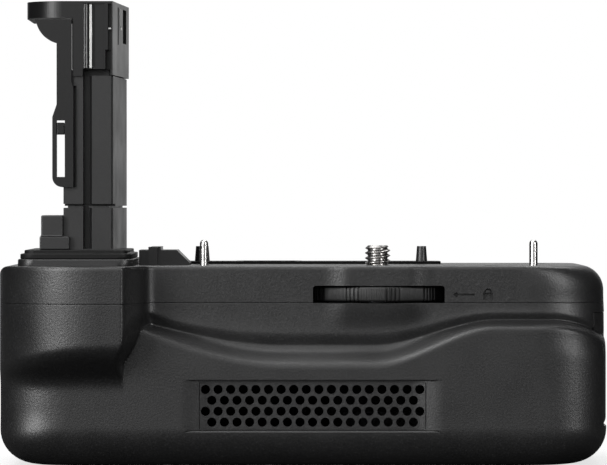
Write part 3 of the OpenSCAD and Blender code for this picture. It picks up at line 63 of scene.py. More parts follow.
# %% Camera
IMAGE_W, IMAGE_H = 607, 465
CAMERA_Y, CAMERA_Z = -1.0, 0.0648
PIXELS_PER_M = 4040.0
HORIZON = 200.0
SENSOR = 36.0
camera_data = bpy.data.cameras.new("camera")
camera_data.sensor_width = SENSOR
camera_data.lens = PIXELS_PER_M * -CAMERA_Y * SENSOR / IMAGE_W
camera_data.clip_start = 0.01
camera = bpy.data.objects.new("camera", camera_data)
bpy.context.scene.collection.objects.link(camera)
tilt = math.atan((IMAGE_H / 2 - HORIZON) / (PIXELS_PER_M * -CAMERA_Y))
camera.location = (0.0, CAMERA_Y, CAMERA_Z)
camera.rotation_euler = (math.radians(90) - tilt, 0, 0)
bpy.context.scene.camera = camera
bpy.context.scene.view_settings.view_transform = "Standard"
print("lens %.1f mm, tilt %.2f degrees" % (camera_data.lens, math.degrees(tilt)))

# %% [markdown]
# ## Finishes
# Every finish is a Principled shader whose colour, roughness and bump come from noise at the scale of the
# real surface. A moulded case has a spark-eroded grain of about half a millimetre with fine lighter specks.
# Coordinates are the object's own, which are metres in the shared frame, so the grain has one size everywhere.

# %% Node helpers
def new_material(name):
    material = bpy.data.materials.new(name)
    material.use_nodes = True
    tree = material.node_tree
    shader = tree.nodes["Principled BSDF"]
    place = tree.nodes.new("ShaderNodeTexCoord")
    return material, tree, shader, place.outputs["Object"]


def noise(tree, place, cell_mm, detail=2.0, stretch=(1, 1, 1)):
    mapping = tree.nodes.new("ShaderNodeMapping")
    mapping.inputs["Scale"].default_value = stretch
    tree.links.new(place, mapping.inputs["Vector"])
    texture = tree.nodes.new("ShaderNodeTexNoise")
    texture.inputs["Scale"].default_value = 1000.0 / cell_mm
    texture.inputs["Detail"].default_value = detail
    tree.links.new(mapping.outputs["Vector"], texture.inputs["Vector"])
    return texture.outputs["Fac"]


def ramp(tree, value, stops):
    node = tree.nodes.new("ShaderNodeValToRGB")
    points = node.color_ramp.elements
    while len(points) < len(stops):
        points.new(0.5)
    for point, (at, colour) in zip(points, stops):
        point.position = at
        point.color = (*colour, 1)
    tree.links.new(value, node.inputs["Fac"])
    return node.outputs["Color"]


def spread(tree, value, low, high, start=0.3, end=0.7):
    node = tree.nodes.new("ShaderNodeMapRange")
    for key, number in zip(("From Min", "From Max", "To Min", "To Max"), (start, end, low, high)):
        node.inputs[key].default_value = number
    tree.links.new(value, node.inputs["Value"])
    return node.outputs["Result"]


def bump(tree, shader, height, depth_mm, strength):
    node = tree.nodes.new("ShaderNodeBump")
    node.inputs["Strength"].default_value = strength
    node.inputs["Distance"].default_value = depth_mm * MM
    tree.links.new(height, node.inputs["Height"])
    tree.links.new(node.outputs["Normal"], shader.inputs["Normal"])


# %% [markdown]
# ## Plastics
# Each plastic has a dark and a light tone that follow the grain, and a roughness that drifts slowly over about
# a centimetre. The case has the deepest grain. The inner black is partly the parts' own black and partly painted
# shade: it is darker than the case and almost without sheen, so that the room behind the holes stays dark.

# %% Moulded plastics
CLOUD_MM = 9.0
DARK_AT, LIGHT_AT, SPECK_AT = 0.30, 0.62, 0.80


def moulded_plastic(name, dark, light, rough, grain_mm, grain_depth, specks=0.0, shine=0.62):
    material, tree, shader, place = new_material(name)
    cloud = noise(tree, place, CLOUD_MM, 3.0)
    fine = noise(tree, place, grain_mm, 2.0)
    speck = tuple(c * (1 + specks) for c in light)
    colour = ramp(tree, fine, [(DARK_AT, dark), (LIGHT_AT, light), (SPECK_AT, speck)])
    tree.links.new(colour, shader.inputs["Base Color"])
    tree.links.new(spread(tree, cloud, *rough), shader.inputs["Roughness"])
    bump(tree, shader, fine, grain_depth, 0.55)
    shader.inputs["Specular IOR Level"].default_value = shine
    return material


CASE = moulded_plastic("case_grain", (0.0045, 0.0045, 0.0047), (0.0095, 0.0095, 0.0097),
                       (0.38, 0.46), 0.48, 0.085, specks=1.5, shine=0.55)
STALK = moulded_plastic("stalk_satin", (0.005, 0.005, 0.0052), (0.009, 0.009, 0.0092),
                        (0.36, 0.44), 0.35, 0.012, shine=0.55)
DARK = moulded_plastic("dark_satin", (0.004, 0.004, 0.004), (0.007, 0.007, 0.0072),
                       (0.30, 0.38), 0.25, 0.008, shine=0.34)
WHEEL = moulded_plastic("wheel_matte", (0.005, 0.005, 0.005), (0.009, 0.009, 0.009),
                        (0.44, 0.54), 0.22, 0.006, shine=0.40)
WHITE = moulded_plastic("acetal_white", (0.60, 0.59, 0.55), (0.70, 0.69, 0.65),
                        (0.35, 0.45), 0.4, 0.008)
RUBBER = moulded_plastic("seal_rubber", (0.004, 0.004, 0.004), (0.007, 0.007, 0.007),
                         (0.45, 0.60), 0.35, 0.020, shine=0.15)
FILM = moulded_plastic("flex_film", (0.36, 0.17, 0.03), (0.46, 0.24, 0.05),
                       (0.18, 0.28), 1.2, 0.004)
BOARD = moulded_plastic("board_lacquer", (0.010, 0.060, 0.030), (0.016, 0.085, 0.045),
                        (0.20, 0.30), 0.8, 0.006)
# Inner black: partly the parts' own black, partly painted shade, darker and duller than the case so the holes
# stay dark
INNER_BLACK_AND_SHADE = moulded_plastic("inner_black_and_painted_shade", (0.0012, 0.0012, 0.0012), (0.0026, 0.0026, 0.0026),
                        (0.60, 0.75), 0.5, 0.020, shine=0.08)
print("plastics ready")

# %% [markdown]
# ## Metals
# Turned metal has fine lines across one direction, so its noise is stretched there and drives the roughness
# and a shallow bump. A slower noise stains the colour a little.

# %% Metals
LINE_MM, STAIN_MM, STAIN_TONE = 0.5, 2.5, 0.82


def turned_metal(name, colour, rough, streak=(1, 1, 14), depth=0.006):
    material, tree, shader, place = new_material(name)
    lines = noise(tree, place, LINE_MM, 2.0, streak)
    stain = noise(tree, place, STAIN_MM, 3.0)
    stained = tuple(c * STAIN_TONE for c in colour)
    tree.links.new(ramp(tree, stain, [(0.3, stained), (0.7, colour)]), shader.inputs["Base Color"])
    tree.links.new(spread(tree, lines, *rough), shader.inputs["Roughness"])
    shader.inputs["Metallic"].default_value = 1.0
    bump(tree, shader, lines, depth, 0.4)
    return material


STEEL = turned_metal("turned_steel", (0.62, 0.61, 0.60), (0.20, 0.30), depth=0.001)
# Blackened steel for the dark steel parts; it is also used as painted shade on the bright steel parts inside the
# case
BLACK_STEEL_AND_SHADE = turned_metal("blackened_steel_and_painted_shade", (0.07, 0.07, 0.075), (0.30, 0.45))
BRASS = turned_metal("turned_brass", (0.66, 0.46, 0.20), (0.22, 0.36))
COPPER = turned_metal("wound_copper", (0.60, 0.26, 0.12), (0.25, 0.40), (1, 8, 1))
CONTACT = turned_metal("plated_contact", (0.66, 0.66, 0.65), (0.26, 0.34), (1, 1, 6), 0.001)
DULL = turned_metal("dull_contact", (0.20, 0.20, 0.20), (0.30, 0.42), (1, 1, 6), 0.001)
SCREW = turned_metal("screw_steel", (0.44, 0.43, 0.42), (0.24, 0.34), (1, 1, 14), 0.003)
FINISH = {
    "case_plastic": CASE, "stalk_plastic": STALK, "dark_plastic": DARK, "wheel_plastic": WHEEL,
    "white_plastic": WHITE, "seal_rubber": RUBBER, "bright_steel": STEEL, "dark_steel": BLACK_STEEL_AND_SHADE,
    "brass": BRASS, "copper": COPPER, "contact_metal": CONTACT, "flex_film": FILM, "board_green": BOARD,
}
print("finishes:", ", ".join(sorted(FINISH)))

# %% [markdown]
# ## Solids that keep their shape
# A moulded edge is never knife sharp: it has a radius of a few tenths of a millimetre that catches the light.
# The solids come in as triangles, so the moulded ones get a stack of three modifiers: weld the split corners,
# dissolve the flat triangles into whole faces, and round the edges. Pieces inside the case are dressed dark,
# partly their own black and partly painted shade, and the steel parts inside are painted dark as shade.

# %% Dress the solids
EDGE = {"switch_key": 0.35, "stalk_boss": 0.35, "stalk_seal": 0.35, "holder_slider": 0.2,
        "latch_slider": 0.15, "battery_bay": 0.2}
INSIDE_BLACK_AND_SHADE = ("battery_bay", "fan_housing", "fan_cover", "air_duct", "impeller", "duct_plate")
# These steel parts are painted dark as shade, so no glint shows through the gap under the wheel
INSIDE_STEEL_PAINTED_SHADE = ("retaining_clip", "thrust_washer", "bearing_bush")
WELD = 0.002 * MM


def soften(piece, edge_mm):
    weld = piece.modifiers.new("weld", "WELD")
    weld.merge_threshold = WELD
    flat = piece.modifiers.new("flat", "DECIMATE")
    flat.decimate_type = "DISSOLVE"
    flat.angle_limit = math.radians(2)
    bevel = piece.modifiers.new("edge", "BEVEL")
    bevel.width = edge_mm * MM
    bevel.segments = 3
    bevel.limit_method = "ANGLE"
    bevel.angle_limit = math.radians(35)
    bevel.harden_normals = True
    bevel.miter_outer = "MITER_ARC"
    bevel.use_clamp_overlap = True


slot_of = {part["node"]: part["material_slot"] for part in frame["record"]["subparts"]}
for name, piece in nodes.items():
    piece.data.materials.clear()
    piece.data.materials.append(FINISH[slot_of[name]])
    if name in EDGE:
        soften(piece, EDGE[name])
# Pieces inside the case get the inner black, made darker than their own colour as painted shade behind the holes
for name in INSIDE_BLACK_AND_SHADE:
    nodes[name].data.materials[0] = INNER_BLACK_AND_SHADE
for name in INSIDE_STEEL_PAINTED_SHADE:
    nodes[name].data.materials[0] = BLACK_STEEL_AND_SHADE
nodes["locating_pegs"].data.materials[0] = STALK
print("dressed", len(nodes), "solids,", len(EDGE), "with soft edges")

# %% [markdown]
# ## The form of the case
# The front is not flat. A ridge runs across it and dips in the middle, a groove lies under the ridge, and a
# shoulder swells out to the lower panel. On the left the hand grip stands 16 mm ahead with a sloping underside.
# Sculpting this by hand would not fit the frame, so height functions like those of the solids are written
# here with arrays: for any x and z they give the depth of the surface.

# %% Sizes of the case in millimetres
LEFT, RIGHT = -74.1, 74.1
TOP, SEAM = 48.8, 39.8
FRONT, REAR = 19.0, 30.0
PANEL_OUT, GRIP_OUT, GROOVE, LIP = 5.0, 16.0, 1.2, 0.35
FLANK_X, FLANK_W, FLANK_LOW_W, FLANK_BACK = -43.8, 8.0, 5.5, 3.0
FLANK_WIDEN, FLANK_LEAN = (29.0, 35.0), (24.0, 31.0)
FOOT_FAR, FOOT_NEAR, FOOT_FLAT, FOOT_STEEP = -27.5, -34.9, 86, 22
RIDGE_X, DIP_W, DIP_END = -40.7, 36.0, (17.0, 46.6)
RIDGE_DROP, RIDGE_DIP, RIDGE_FALL, FALL_W = 2.2, 5.0, 4.4, 13.8
VALLEY_DROP, SHOULDER_DROP = (2.1, 3.2), (2.2, 5.2)
SWELL, SWELL_END, RISE_EASE = 1.5, (7.2, 13.6), 0.7
SMOOTH = (-0.24, -0.12, 0.0, 0.12, 0.24)
NOSE, CORNER, BASE_CORNER, CORNER_GROWS = (25.0, 22.0), (18.0, 12.5), (13.0, 11.0), (2.0, 14.0)
UNDER_Z, UNDER_SLOPE, BLEND, WIDE_BLEND = 20.2, 1.6, 1.6, 3.0
BASE_R, BASE_FRONT, BASE_REAR = 9.0, 9.5, 7.0
TOP_LEFT_R, TOP_RIGHT_R, TOP_EDGE = 2.8, 6.0, 0.8
END_LOW, END_MID, END_HIGH = (16.5, 13.0), (18.5, 15.0), (20.0, 17.0)
END_FIRST, END_SECOND = (26.5, 32.0), (36.5, 41.5)
END_REAR, LEFT_REAR, PALM, PALM_X, PALM_Z = 5.0, 10.0, 5.0, (LEFT + 23, LEFT + 45), (0, 14)
TAPER, TAPER_FROM = 0.008, 26
SCREW_X, SCREW_Y = 18.3, -2.5
WALL, OVER = 2.2, 1


# %% Steps and roundings
def unit(t):
    return np.clip(t, 0.0, 1.0)


def mix(a, b, t):
    return a + (b - a) * t


def ease(a, b, t):
    u = unit((t - a) / (b - a))
    return u * u * (3 - 2 * u)


def soft_max(a, b, k):
    h = unit(0.5 + 0.5 * (a - b) / k)
    return mix(b, a, h) + k * h * (1 - h)


def round_in(r, d):
    return r - np.sqrt(np.maximum(r * r - np.square(r - np.clip(d, 0, r)), 0))


def end_round(s):
    return 1 - np.power(1 - np.power(unit(s), 2.2), 1 / 2.2)


# %% [markdown]
# ## Ridge, groove and shoulder
# Three lines run across the front: the crest of the ridge, the bottom of the groove, and the shoulder. All three
# dip in the middle. Between them the profile is made of short curves, and a small average over the height takes
# the hardness out of the crest. Above the wheel the wall swells a little.

# %% Middle of the front
def dip(x):
    return np.sin(np.pi / 2 * unit((x - RIDGE_X) / DIP_W)) * (1 - ease(*DIP_END, x))


def ridge_z(x):
    fall = np.square(unit((x - RIGHT + FALL_W) / FALL_W))
    return SEAM - RIDGE_DROP - RIDGE_DIP * dip(x) - RIDGE_FALL * fall


def valley_z(x):
    return ridge_z(x) - mix(*VALLEY_DROP, dip(x))


def shoulder_z(x):
    return valley_z(x) - mix(*SHOULDER_DROP, dip(x))


def middle_out(x, z):
    a, b, c = ridge_z(x), valley_z(x), shoulder_z(x)
    lip = LIP * np.power(unit((SEAM - z) / (SEAM - a)), 3)
    swell = SWELL * ease(a, SEAM, z) * (1 - ease(*SWELL_END, np.abs(x - SCREW_X)))
    under = mix(LIP, -GROOVE, np.power(unit((a - z) / (a - b)), 2))
    t = unit((b - z) / (b - c))
    rise = mix(-GROOVE, PANEL_OUT, mix(np.sqrt(1 - np.square(1 - t)), ease(0, 1, t), RISE_EASE * dip(x)))
    return np.where(z >= a, lip + swell, np.where(z >= b, under, np.where(z >= c, rise, PANEL_OUT)))


# %% [markdown]
# ## Hand grip and ends
# The grip is a thick nose whose flank leans back at its foot. A soft maximum joins it to the low front, which
# leaves the rounded underside that the fingers meet. The right end has a corner that grows rounder with the
# height, and the whole end leans in by a fraction of a degree.

# %% Grip and corners
def left_low(z):
    return LEFT + round_in(BASE_R, z)


def left_at(z):
    return left_low(z) + round_in(TOP_LEFT_R, TOP - z)


def right_at(z):
    lean = TAPER * np.maximum(0, z - TAPER_FROM)
    return RIGHT - round_in(BASE_R, z) - round_in(TOP_RIGHT_R, TOP - z) - lean


def flank(x, z):
    width = mix(FLANK_LOW_W, FLANK_W, ease(*FLANK_WIDEN, z))
    start = FLANK_X - FLANK_BACK * (1 - ease(*FLANK_LEAN, z))
    return np.power(1 - np.square(unit((x - start) / width)), 3)


def flank_foot(x, z):
    far, near = np.maximum(FOOT_FAR - x, 0), np.maximum(FOOT_NEAR - x, 0)
    out = np.minimum(np.square(far) / FOOT_FLAT + np.square(near) / FOOT_STEEP, PANEL_OUT)
    return out * ease(-1.0, 1.0, z - ridge_z(x))


def corner(x, z, reach, depth):
    return depth * end_round((left_low(z) + reach - x) / reach)


def end_corner(x, z):
    first, second = ease(*END_FIRST, z), ease(*END_SECOND, z)
    sizes = zip(END_LOW, END_MID, END_HIGH)
    reach, depth = (mix(mix(a, b, first), c, second) for a, b, c in sizes)
    return depth * end_round((x - right_at(z) + reach) / reach)


# %% Front and back surface
def front_out(x, z):
    soft = sum(middle_out(x, z + d) for d in SMOOTH) / len(SMOOTH)
    up = ease(*CORNER_GROWS, z)
    soft = soft + flank_foot(x, z)
    low = soft - corner(x, z, *(mix(a, b, up) for a, b in zip(BASE_CORNER, CORNER)))
    grip = GRIP_OUT * flank(x, z) - corner(x, z, *NOSE)
    slope = low - BLEND + UNDER_SLOPE * soft_max(z - UNDER_Z, 0.0, WIDE_BLEND)
    return soft_max(low, -soft_max(-grip, -slope, WIDE_BLEND), BLEND)


def front_at(x, z):
    edges = round_in(BASE_FRONT, z) + round_in(TOP_EDGE, TOP - z)
    return edges - FRONT - front_out(x, z) + end_corner(x, z)


def back_at(x, z):
    return (REAR - round_in(BASE_REAR, z) - round_in(TOP_EDGE, TOP - z)
            + PALM * (1 - ease(*PALM_X, x)) * ease(*PALM_Z, z)
            - LEFT_REAR * end_round((left_low(z) + LEFT_REAR - x) / LEFT_REAR)
            - END_REAR * end_round((x - right_at(z) + END_REAR) / END_REAR))


print("front at the screw, seam height: %.2f mm" % front_at(np.array(SCREW_X), np.array(SEAM)))

# %% [markdown]
# ## Lofting the two mouldings
# A loft is a stack of closed rings with the same number of points. The rows follow the ridge, the valley and
# the shoulder, so their edges run along the quads and stay crisp. The rows beside the parting line pull in by
# 0.06 mm, which gives the fine dark line between the two halves.

# %% Loft helpers
def stations(xl, xr, grain):
    def spaced(a, b, n):
        return mix(a, b, np.arange(n) / n)
    bow = 8 * grain
    turn = 1 - np.cos(np.pi / 2 * np.arange(bow) / bow)
    last = 1 - np.sin(np.pi / 2 * np.arange(bow + 1) / bow)
    near, far, end = FLANK_X - FLANK_BACK - 1, FLANK_X + FLANK_W + 1, RIGHT - END_HIGH[0] - 2
    return np.concatenate([mix(xl, LEFT + 20, turn), spaced(LEFT + 20, near, 4 * grain),
                           spaced(near, far, 11 * grain), spaced(far, end, 20 * grain), mix(xr, end, last)])


def ring(row, grain, inset=0.0):
    xl, xr = left_at(row(np.array(LEFT))) + inset, right_at(row(np.array(RIGHT))) - inset
    x = stations(xl, xr, grain)
    z = row(x)
    front = np.stack([x, front_at(x, z) + inset, z], 1)
    back = np.stack([x, back_at(x, z) - inset, z], 1)[::-1]
    return np.concatenate([front, back])


def mesh_of(name, points_mm, faces, material, smooth=True):
    mesh = bpy.data.meshes.new(name)
    mesh.from_pydata((np.asarray(points_mm) * MM).tolist(), [], faces)
    mesh.materials.append(material)
    mesh.validate()
    if smooth:
        mesh.shade_smooth()
    piece = bpy.data.objects.new(name, mesh)
    bpy.context.scene.collection.objects.link(piece)
    return piece


def loft(name, rings, material):
    n, rows = len(rings[0]), len(rings)
    faces = [[r * n + i, r * n + (i + 1) % n, (r + 1) * n + (i + 1) % n, (r + 1) * n + i]
             for r in range(rows - 1) for i in range(n)]
    half = n // 2
    top = (rows - 1) * n
    faces += [[n - 1 - i, n - 2 - i, i + 1, i] for i in range(half - 1)]
    faces += [[top + i, top + i + 1, top + n - 2 - i, top + n - 1 - i] for i in range(half - 1)]
    return mesh_of(name, np.concatenate(rings), faces, material)


def flat_row(z):
    return lambda x: np.full_like(np.asarray(x, float), z)


def between(low, high, t):
    return lambda x: mix(low(x), high(x), t)


# %% Rows of the lower and the upper moulding
GRAIN = 5
BASE_ROWS, PANEL_ROWS, RISE_ROWS, UNDER_ROWS, TOP_ROWS = 12, 36, 16, 12, 16
SLIT_EDGE = 0.3
SLIT = ((0.12, 0), (0.06, 0.02), (0.03, 0.06))
base_turn = [math.pi / 2 * j / BASE_ROWS for j in range(BASE_ROWS + 1)]
top_turn = [math.pi / 2 * j / TOP_ROWS for j in range(1, TOP_ROWS + 1)]
corner_z = TOP - TOP_RIGHT_R
lower_rows = [(flat_row(BASE_R * (1 - math.cos(a))), 0) for a in base_turn]
for low, high, count in ((flat_row(BASE_R), shoulder_z, PANEL_ROWS), (shoulder_z, valley_z, RISE_ROWS),
                         (valley_z, ridge_z, UNDER_ROWS)):
    lower_rows += [(between(low, high, j / count), 0) for j in range(1, count + 1)]
lower_rows += [(between(ridge_z, flat_row(SEAM - SLIT_EDGE), t), 0) for t in (0.06, 0.14, 0.25, 0.45, 0.7, 1.0)]
lower_rows += [(flat_row(SEAM - d), inset) for d, inset in SLIT]
upper_rows = [(flat_row(SEAM + d), inset) for d, inset in reversed(SLIT)] + [(flat_row(SEAM + SLIT_EDGE), 0)]
upper_rows += [(flat_row(mix(SEAM + SLIT_EDGE, corner_z, t)), 0) for t in (0.33, 0.66, 1.0)]
upper_rows += [(flat_row(mix(corner_z, TOP, math.sin(a))), 0) for a in top_turn]
lower_skin = loft("lower_case_skin", [ring(row, GRAIN, inset) for row, inset in lower_rows], CASE)
upper_skin = loft("upper_case_skin", [ring(row, GRAIN, inset) for row, inset in upper_rows], CASE)
print("lower", len(lower_skin.data.polygons), "faces, upper", len(upper_skin.data.polygons), "faces")

# %% [markdown]
# ## Hollowing and cutting
# A moulding is a thin wall, and the door, the wheel, the grille, the screws and the stalk all pass through it.
# Each tool is a closed shell given as points and faces; tools that do not touch are put into one mesh, so a
# moulding needs only a few exact Boolean steps. The inside is a coarser loft, one wall smaller: a ball with
# the thickness of the wall rolls along the outside.

# %% Shells for cutting and adding
BALL = ((0, 0), (1, 0), (-1, 0), (0.7, 0), (-0.7, 0), (0, 1), (0, -1), (0, 0.7), (0, -0.7))
INNER_GRAIN = 2
AXES = {"z": lambda u, v, w: (u, v, w), "y": lambda u, v, w: (u, w, v), "x": lambda u, v, w: (w, u, v)}


def inner_ring(z):
    xl = LEFT + WALL + round_in(BASE_R - WALL, z - WALL) + round_in(TOP_LEFT_R - WALL, TOP - WALL - z)
    xr = right_at(z) - WALL - round_in(TOP_RIGHT_R - WALL, TOP - WALL - z)
    x = stations(float(xl), float(xr), INNER_GRAIN)
    zs = np.full_like(x, z)
    rolled = [(WALL * u, WALL * v, WALL * math.sqrt(1 - u * u - v * v)) for u, v in BALL]
    front = np.max([front_at(x + u, zs + v) + d for u, v, d in rolled], axis=0)
    back = np.min([back_at(x + u, zs + v) - d for u, v, d in rolled], axis=0)
    return np.concatenate([np.stack([x, front, zs], 1), np.stack([x, back, zs], 1)[::-1]])


def prism(outline, low, high, along="z"):
    n = len(outline)
    points = [AXES[along](u, v, w) for w in (low, high) for u, v in outline]
    sides = [[i, (i + 1) % n, n + (i + 1) % n, n + i] for i in range(n)]
    sides += [list(range(n))[::-1], list(range(n, 2 * n))]
    return points, [side[::-1] for side in sides] if along == "y" else sides


def box(x0, x1, y0, y1, z0, z1):
    return prism([(x0, y0), (x1, y0), (x1, y1), (x0, y1)], z0, z1)


def rod(x, y, r, low, high, along="z", count=48):
    turn = [2 * math.pi * i / count for i in range(count)]
    return prism([(x + r * math.cos(a), y + r * math.sin(a)) for a in turn], low, high, along)


def slab(x0, x1, y0, y1, z0, z1, r):
    turn = [math.pi / 2 * i / 8 for i in range(9)]
    centres = ((x1 - r, y1 - r), (x0 + r, y1 - r), (x0 + r, y0 + r), (x1 - r, y0 + r))
    return prism([(cx + r * math.cos(a + q * math.pi / 2), cy + r * math.sin(a + q * math.pi / 2))
                  for q, (cx, cy) in enumerate(centres) for a in turn], z0, z1)


# %% Boolean steps, copies and seats
def tool(*shells):
    points, faces = [], []
    for shell_points, shell_faces in shells:
        faces += [[i + len(points) for i in face] for face in shell_faces]
        points += list(shell_points)
    return mesh_of("tool", points, faces, CASE)


def shape(piece, steps):
    for operation, helper in steps:
        step = piece.modifiers.new("shape", "BOOLEAN")
        step.operation = operation
        step.solver = "EXACT"
        step.object = helper
    bpy.context.view_layer.update()
    final = piece.evaluated_get(bpy.context.evaluated_depsgraph_get())
    result = bpy.data.meshes.new_from_object(final)
    piece.modifiers.clear()
    old, piece.data = piece.data, result
    bpy.data.meshes.remove(old)
    for _, helper in steps:
        mesh = helper.data
        bpy.data.objects.remove(helper)
        bpy.data.meshes.remove(mesh)
    piece.data.set_sharp_from_angle(angle=math.radians(32))


def copy_of(node):
    mesh = nodes[node].data.copy()
    work = bmesh.new()
    work.from_mesh(mesh)
    bmesh.ops.remove_doubles(work, verts=work.verts, dist=WELD)
    work.to_mesh(mesh)
    work.free()
    piece = bpy.data.objects.new(node + "_fine", mesh)
    bpy.context.scene.collection.objects.link(piece)
    return piece


def seat(piece, node, edge_mm=0.0, body="case", flat=True):
    if flat:
        piece.data.shade_flat()
    if edge_mm:
        soften(piece, edge_mm)
    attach(piece, body)
    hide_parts(node)
    print(piece.name, len(piece.data.polygons), "faces")


# %% [markdown]
# ## The recess around the grille
# The grille lies in a shallow recess whose ends run out in a soft curve. In the photograph a dark line lies
# along its upper edge and a fine chamfer along the lower one. The line is cut as a slot that thins out towards
# both ends, so that it fades into the wall.

# %% Recess of the grille
GRILLE_X, GRILLE_Z, GRILLE_W, GRILLE_H = 2.2, 15.0, 54.9, 11.17
PANEL_Y = -(FRONT + PANEL_OUT)
RECESS, RECESS_H, CURVE_STEPS = 1.2, 12.1, 24
RECESS_LOW, RECESS_TOP = GRILLE_Z - RECESS_H / 2, GRILLE_Z + RECESS_H / 2
RECESS_HALF, FLOOR_HALF = GRILLE_W / 2 + 4.45, GRILLE_W / 2 - 3.45
LINE_HALF, LINE_STEPS = RECESS_HALF - 0.4, 41
curve = [(mix(FLOOR_HALF, RECESS_HALF, i / CURVE_STEPS),
          PANEL_Y + RECESS * (1 - float(ease(0, 1, i / CURVE_STEPS)))) for i in range(CURVE_STEPS + 1)]
recess = [(GRILLE_X - RECESS_HALF, PANEL_Y - OVER), (GRILLE_X + RECESS_HALF, PANEL_Y - OVER)]
recess += [(GRILLE_X + u, v) for u, v in reversed(curve)] + [(GRILLE_X - u, v) for u, v in curve]
chamfer = [(PANEL_Y - 0.5, RECESS_LOW - 0.9), (PANEL_Y + 0.45, RECESS_LOW + 0.05),
           (PANEL_Y - 0.5, RECESS_LOW + 0.05)]


def shadow_line(edge_z, height):
    span = np.linspace(-1, 1, LINE_STEPS) * LINE_HALF
    thick = height * (1 - np.power(np.abs(span) / LINE_HALF, 8))
    back = zip(span[-2:0:-1], thick[-2:0:-1])
    outline = [(GRILLE_X + u, edge_z) for u in span] + [(GRILLE_X + u, edge_z + t) for u, t in back]
    return prism(outline if height > 0 else outline[::-1], PANEL_Y - 0.5, PANEL_Y + RECESS + 0.8, "y")


def behind_grille(room, near, far):
    return box(GRILLE_X - GRILLE_W / 2 - room, GRILLE_X + GRILLE_W / 2 + room, near, far,
               GRILLE_Z - GRILLE_H / 2 - room, GRILLE_Z + GRILLE_H / 2 + room)


print("recess of %.1f by %.1f mm" % (2 * RECESS_HALF, RECESS_H))

# %% [markdown]
# ## Opening the lower moulding
# The doorway follows the box of the door with a narrow gap, and it leaves out the upper front corner, where the
# rounded end of the case would be cut open. The hinge knuckle and the keeper of the latch are added before the
# holes are drilled, so one drill passes through both.

# %% Doorway and hinge
DOOR_GAP, TOP_GAP, STEP_GAP = 0.3, 0.12, 0.15
STEP_Y, STEP_Z = -13.5, 30.0
DOORWAY_X = (68.5, 77)
HINGE_X, HINGE_Z, HINGE_R, KNUCKLE_R, KNUCKLE = 71.8, 12.0, 0.82, 2.0, (-1.4, 12.6)
WEB_HALF, WEB_LOW = 1.5, 8.0
KEEPER = (71.15, 71.9, 0.6, 10.6)
door_lo, door_hi = (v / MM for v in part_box("battery_door"))
way_y0, way_y1 = door_lo.y - DOOR_GAP, door_hi.y + DOOR_GAP
way_z0, way_z1 = door_lo.z - DOOR_GAP, door_hi.z + TOP_GAP
step_y, step_z = STEP_Y - STEP_GAP, STEP_Z - DOOR_GAP
way = [(way_y0, way_z0), (way_y1, way_z0), (way_y1, way_z1), (step_y, way_z1), (step_y, step_z), (way_y0, step_z)]
doorway = tool(prism(way, *DOORWAY_X, "x"))
inside = tool(box(*KEEPER, door_hi.z + DOOR_GAP, SEAM), rod(HINGE_X, HINGE_Z, KNUCKLE_R, *KNUCKLE, "y"))
web = tool(box(HINGE_X - WEB_HALF, HINGE_X + WEB_HALF, *KNUCKLE, WEB_LOW, HINGE_Z))
print("doorway %.1f mm wide" % (way_y1 - way_y0))

# %% Cut the lower moulding
LOW_STEPS = (0, 0.02, 0.05, 0.09, 0.14, 0.2, 0.3, 0.4, 0.48, 0.54, 0.6, 0.66, 0.72, 0.78, 0.84, 0.9, 0.95, 1)
CASE_SCREWS = [(-61.1, 24.4), (-33.1, -13.8), (-8.0, -13.8), (3.5, 24.4)]
SOCKET_R, HEAD_ROOM_R, HEAD_SEAT = 6.52, 2.3, 30
GRILLE_FIT, RIM = 0.03, 1.6
WHEEL_ROOM = 15.9
hollow = loft("hollow", [inner_ring(WALL + (SEAM + OVER - WALL) * t) for t in LOW_STEPS], CASE)
head_rooms = [rod(x, y, HEAD_ROOM_R, -OVER, HEAD_SEAT) for x, y in CASE_SCREWS]
through = tool(prism(recess, RECESS_LOW, RECESS_TOP), rod(SCREW_X, SCREW_Y, SOCKET_R, -OVER, 4), *head_rooms,
               rod(HINGE_X, HINGE_Z, HINGE_R, KNUCKLE[0] - OVER, KNUCKLE[1] + OVER, "y"))
behind = tool(behind_grille(GRILLE_FIT, PANEL_Y + 0.5, PANEL_Y + 4))
rim_seat = tool(behind_grille(RIM, PANEL_Y + WALL, PANEL_Y + WALL + 2))
lines = tool(shadow_line(RECESS_TOP + 0.30, -0.55),
             prism(chamfer, GRILLE_X - RECESS_HALF + 1.2, GRILLE_X + RECESS_HALF - 1.2, "x"))
sill = tool(shadow_line(RECESS_LOW + 0.02, 0.22))
wheel_room = tool(box(SCREW_X - WHEEL_ROOM, SCREW_X + WHEEL_ROOM, -FRONT - 4, -FRONT - 0.2,
                      SEAM - 0.25, SEAM + OVER))
shape(lower_skin, [("DIFFERENCE", hollow), ("DIFFERENCE", doorway), ("UNION", inside), ("UNION", web),
                   ("DIFFERENCE", through), ("DIFFERENCE", behind), ("DIFFERENCE", rim_seat),
                   ("DIFFERENCE", lines), ("DIFFERENCE", sill), ("DIFFERENCE", wheel_room)])
print("lower moulding:", len(lower_skin.data.polygons), "faces after cutting")

# %% [markdown]
# ## Opening the upper moulding
# The front has the window of the wheel with rounded upper corners and, beside it, a sunk arrow and a padlock.
# The seat face has shallow pockets for the stalk, the duct plate and the locating block, and holes for the
# screw, the pins, the air and the wiring.

